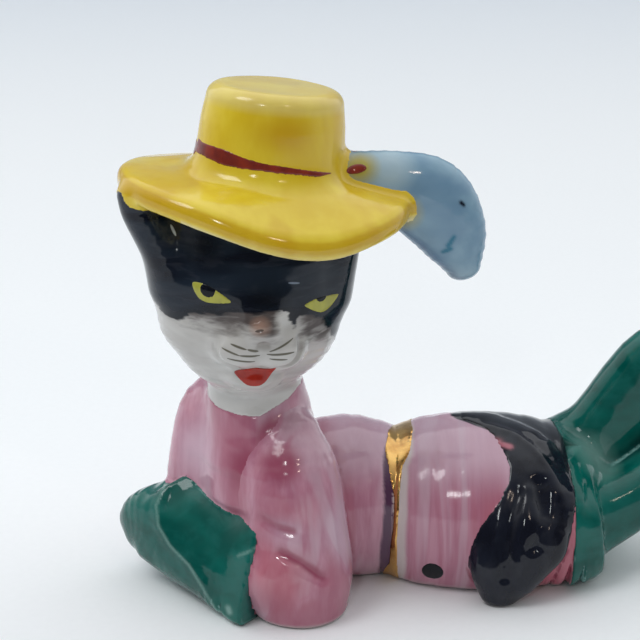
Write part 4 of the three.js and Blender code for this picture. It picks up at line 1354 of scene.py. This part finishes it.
cast("jacket_front", BODY, PINK_FRONT, "pink_glaze", limits=[front_side, neckline], maskers=[jacket_masks])
cast("jacket_skirt", SKIRT, PINK_SKIRT, "pink_glaze", limits=[skirt_side, past_boot_top],
     maskers=[jacket_masks, hip_masks])
cast("neck", BODY, **PORCELAIN, thick=0.03, limits=[above_neckline])
cast("left_sleeve", ["left_sleeve"], PINK_SLEEVE, "pink_glaze", thick=0.02, overlap=0.35,
     maskers=[sleeve_masks])
cast("right_sleeve", ["right_sleeve"], PINK_FRONT, "pink_glaze", overlap=0.6, maskers=[jacket_masks])
for name, thick in (("left_gauntlet", 0.07), ("right_gauntlet", 0.05)):
    cast(name, [name], GREEN, "green_glaze", thick=thick, overlap=0.3, maskers=[glove_masks])
cast("tail", ["tail"], BLACK, "black_glaze", thick=0.1, overlap=0.3, maskers=[tail_masks])
for name in CUFFS:
    cast(name, [name, "body"], **BOOT_GREEN, limits=[behind_boot_top])
for name in ("left_boot", "right_boot", "left_boot_heel", "right_boot_heel"):
    cast(name, [name], **BOOT_GREEN)

cast("head", ["skull", "nose_bridge", "chin"], **PORCELAIN)
cast("muzzle", ["left_pad", "right_pad"], **PORCELAIN)
cast("nose", ["nose_tip"], **PORCELAIN)
for name in ("left_ear", "right_ear"):
    cast(name, [name], FACE, "black_glaze", FINE_GRID, overlap=0.8, maskers=[face_masks])
cast("hat_brim", ["brim"], **HAT_YELLOW)
cast("hat_crown", ["crown"], **HAT_YELLOW)
cast("plume", ["plume"], BLUE, "pale_blue_glaze", FINE_GRID, 0.05, overlap=0.4, maskers=[plume_masks])


def gilded(points):
    """The brushed gold between its two edges."""
    past = past_belt(points)
    fore, aft = belt_edges(points)
    return np.maximum(fore - past, past - aft) * 0.9


def hip_spot_region(points):
    off = points - np.array([16.9, -12.5, 4.0], np.float32)
    return np.maximum(np.sqrt(off[:, 0] ** 2 + off[:, 2] ** 2) - 1.62, np.abs(off[:, 1]) - 4)


def band_region(points):
    """The hat band: brushed to a point in front, even behind."""
    local = in_head(points)
    brushed = outline_distance(local[:, 0], local[:, 2], BAND_OUTLINE)
    height = local[:, 2] - CROWN_FOOT
    even = np.abs(height - 3.0) - 1.0
    return np.where(local[:, 1] < 0.5, brushed, even)


KNOT_AXES = np.array([[0.97, 0, -0.24], [0, 1, 0], [0.24, 0, 0.97]], np.float32)


def knot_region(points):
    off = (in_head(points) - np.array([12.9, -2.4, 19.0], np.float32)) @ KNOT_AXES
    return (np.sqrt((off[:, 0] / 1.5) ** 2 + (off[:, 1] / 2.0) ** 2 + (off[:, 2] / 0.62) ** 2) - 1) * 0.6


def pupil(eye, middle, radius):
    """The part of an eye that a round pupil covers."""
    look = on_face(eye)

    def region(points):
        local = in_head(points)
        round_one = np.sqrt((local[:, 0] - middle[0]) ** 2 + (local[:, 2] - middle[1]) ** 2) - radius
        return np.maximum(look(points), round_one)

    return region


enamel("belt", gilded, node_box("belt"), GOLD, "gilding", ["belt"], 0.12, 0.2)
enamel("hip_spot", hip_spot_region, node_box("hip_spot", 2.5), PUPIL, "black_glaze", ["hip_spot"], 0.12)
enamel("hat_band", band_region, node_box("hat_crown", 1.0), RUST, "brown_red_glaze", ["hat_band"], 0.15, 0.2)
enamel("band_knot", knot_region, face_box((10.5, -6.5, 17.0), (15.5, 1.0, 21.0)), RUST, "brown_red_glaze",
       ["band_knot"], 0.18)
right_eye_box = face_box((-11, -13, 0), (-3.5, -6, 5))
left_eye_box = face_box((4.5, -13, -1.5), (12, -6, 3))
enamel("right_eye", on_face(RIGHT_EYE), right_eye_box, EYE, "eye_green_glaze", ["right_eye"], 0.06)
enamel("left_eye", on_face(LEFT_EYE), left_eye_box, EYE, "eye_green_glaze", ["left_eye"], 0.06)
enamel("right_pupil", pupil(RIGHT_EYE, (-7.4, 2.6), 1.05), right_eye_box, PUPIL, "black_glaze", thick=0.11)
enamel("left_pupil", pupil(LEFT_EYE, (8.6, 2.3), 0.85), left_eye_box, PUPIL, "black_glaze", thick=0.11)
enamel("mouth", on_face(MOUTH), face_box((-4.5, -15, -12), (4.5, -8, -6)), RED, "mouth_red_glaze", ["mouth"])

# ---- Table, light and camera ----


def sweep():
    """A pale table that curves up into the backdrop, far behind."""
    start, turn = 1.1, 0.4  # where the curve starts, and its radius
    profile = [(-0.6, 0.0), (start, 0.0)]
    for a in np.linspace(0.1, math.pi / 2, 14):
        profile.append((start + turn * math.sin(a), turn * (1 - math.cos(a))))
    profile.append((start + turn, 1.2))
    points = [(x, y, z) for y, z in profile for x in (-1.2, 1.2)]
    faces = [(2 * i, 2 * i + 1, 2 * i + 3, 2 * i + 2) for i in range(len(profile) - 1)]
    mesh = bpy.data.meshes.new("table")
    mesh.from_pydata(points, [], faces)
    mesh.shade_smooth()
    table = bpy.data.objects.new("table", mesh)
    bpy.context.scene.collection.objects.link(table)
    material = bpy.data.materials.new("table paper")
    material.use_nodes = True
    tree = material.node_tree
    shader = tree.nodes["Principled BSDF"]
    place = object_place(tree)
    fibre = noise(tree, place, 900.0, 3.0)
    away = put(tree, "ShaderNodeSeparateXYZ", {0: place}).outputs["Y"]
    # the table is painted darker towards the viewer, a painted shade, and bluer far behind
    near = smooth_step(tree, away, -0.09, 0.04)
    colour = mix_colour(tree, near, srgb(236, 238, 240), srgb(247, 249, 250))
    colour = mix_colour(tree, smooth_step(tree, away, 0.22, 0.7), colour, srgb(236, 242, 248))
    colour = mix_colour(tree, math_node(tree, "MULTIPLY", fibre, 0.12), colour, srgb(206, 209, 212))
    tree.links.new(colour, shader.inputs["Base Color"])
    shader.inputs["Roughness"].default_value = 0.7
    shader.inputs["Specular IOR Level"].default_value = 0.2
    mesh.materials.append(material)


def area_light(name, place, target, width, height, power, colour):
    lamp = bpy.data.lights.new(name, "AREA")
    lamp.shape = "RECTANGLE"
    lamp.size, lamp.size_y = width, height
    lamp.energy = power
    lamp.color = colour
    holder = bpy.data.objects.new(name, lamp)
    bpy.context.scene.collection.objects.link(holder)
    place = Vector(place)
    holder.location = place
    holder.rotation_euler = (Vector(target) - place).to_track_quat("-Z", "Y").to_euler()


def room():
    """Soft daylight: bright overhead and behind the object, dimmer on the viewer's side."""
    world = bpy.data.worlds.new("room")
    world.use_nodes = True
    bpy.context.scene.world = world
    tree = world.node_tree
    direction = put(tree, "ShaderNodeTexCoord").outputs["Generated"]
    parts = put(tree, "ShaderNodeSeparateXYZ", {0: direction}).outputs
    lean = math_node(tree, "ADD", parts["Y"], math_node(tree, "MULTIPLY", parts["Z"], 0.75))
    level = smooth_step(tree, lean, -0.45, 1.0)
    colour = mix_colour(tree, level, (0.085, 0.088, 0.095, 1), (1.3, 1.34, 1.38, 1))
    tree.links.new(colour, tree.nodes["Background"].inputs["Color"])
    tree.nodes["Background"].inputs["Strength"].default_value = 1.0


sweep()
room()
middle = (0.0, 0.0, 0.035)
area_light("window", (-0.45, -0.3, 0.85), middle, 0.35, 0.35, 2.2, (0.98, 0.99, 1.0))
area_light("small window", (-0.12, -0.6, 0.42), middle, 0.05, 0.08, 0.3, (0.95, 1.0, 1.0))
area_light("warm lamp", (0.25, -0.5, 0.45), middle, 0.04, 0.04, 0.15, (1.0, 0.8, 0.65))

TARGET_HEIGHT = 39.6
CAMERA_AWAY = 250.0
CAMERA_TILT = math.radians(20)
look_at = Vector((bench + np.array([0, 0, TARGET_HEIGHT])) * MM)
back = Vector((0, -math.cos(CAMERA_TILT), math.sin(CAMERA_TILT)))
camera_data = bpy.data.cameras.new("camera")
camera_data.sensor_width = 36.0
camera_data.lens = 93.77
camera_data.clip_start = 0.01
camera = bpy.data.objects.new("camera", camera_data)
bpy.context.scene.collection.objects.link(camera)
camera.location = look_at + back * CAMERA_AWAY * MM
camera.rotation_euler = (-back).to_track_quat("-Z", "Y").to_euler()
bpy.context.scene.camera = camera
bpy.context.scene.view_settings.view_transform = "Standard"
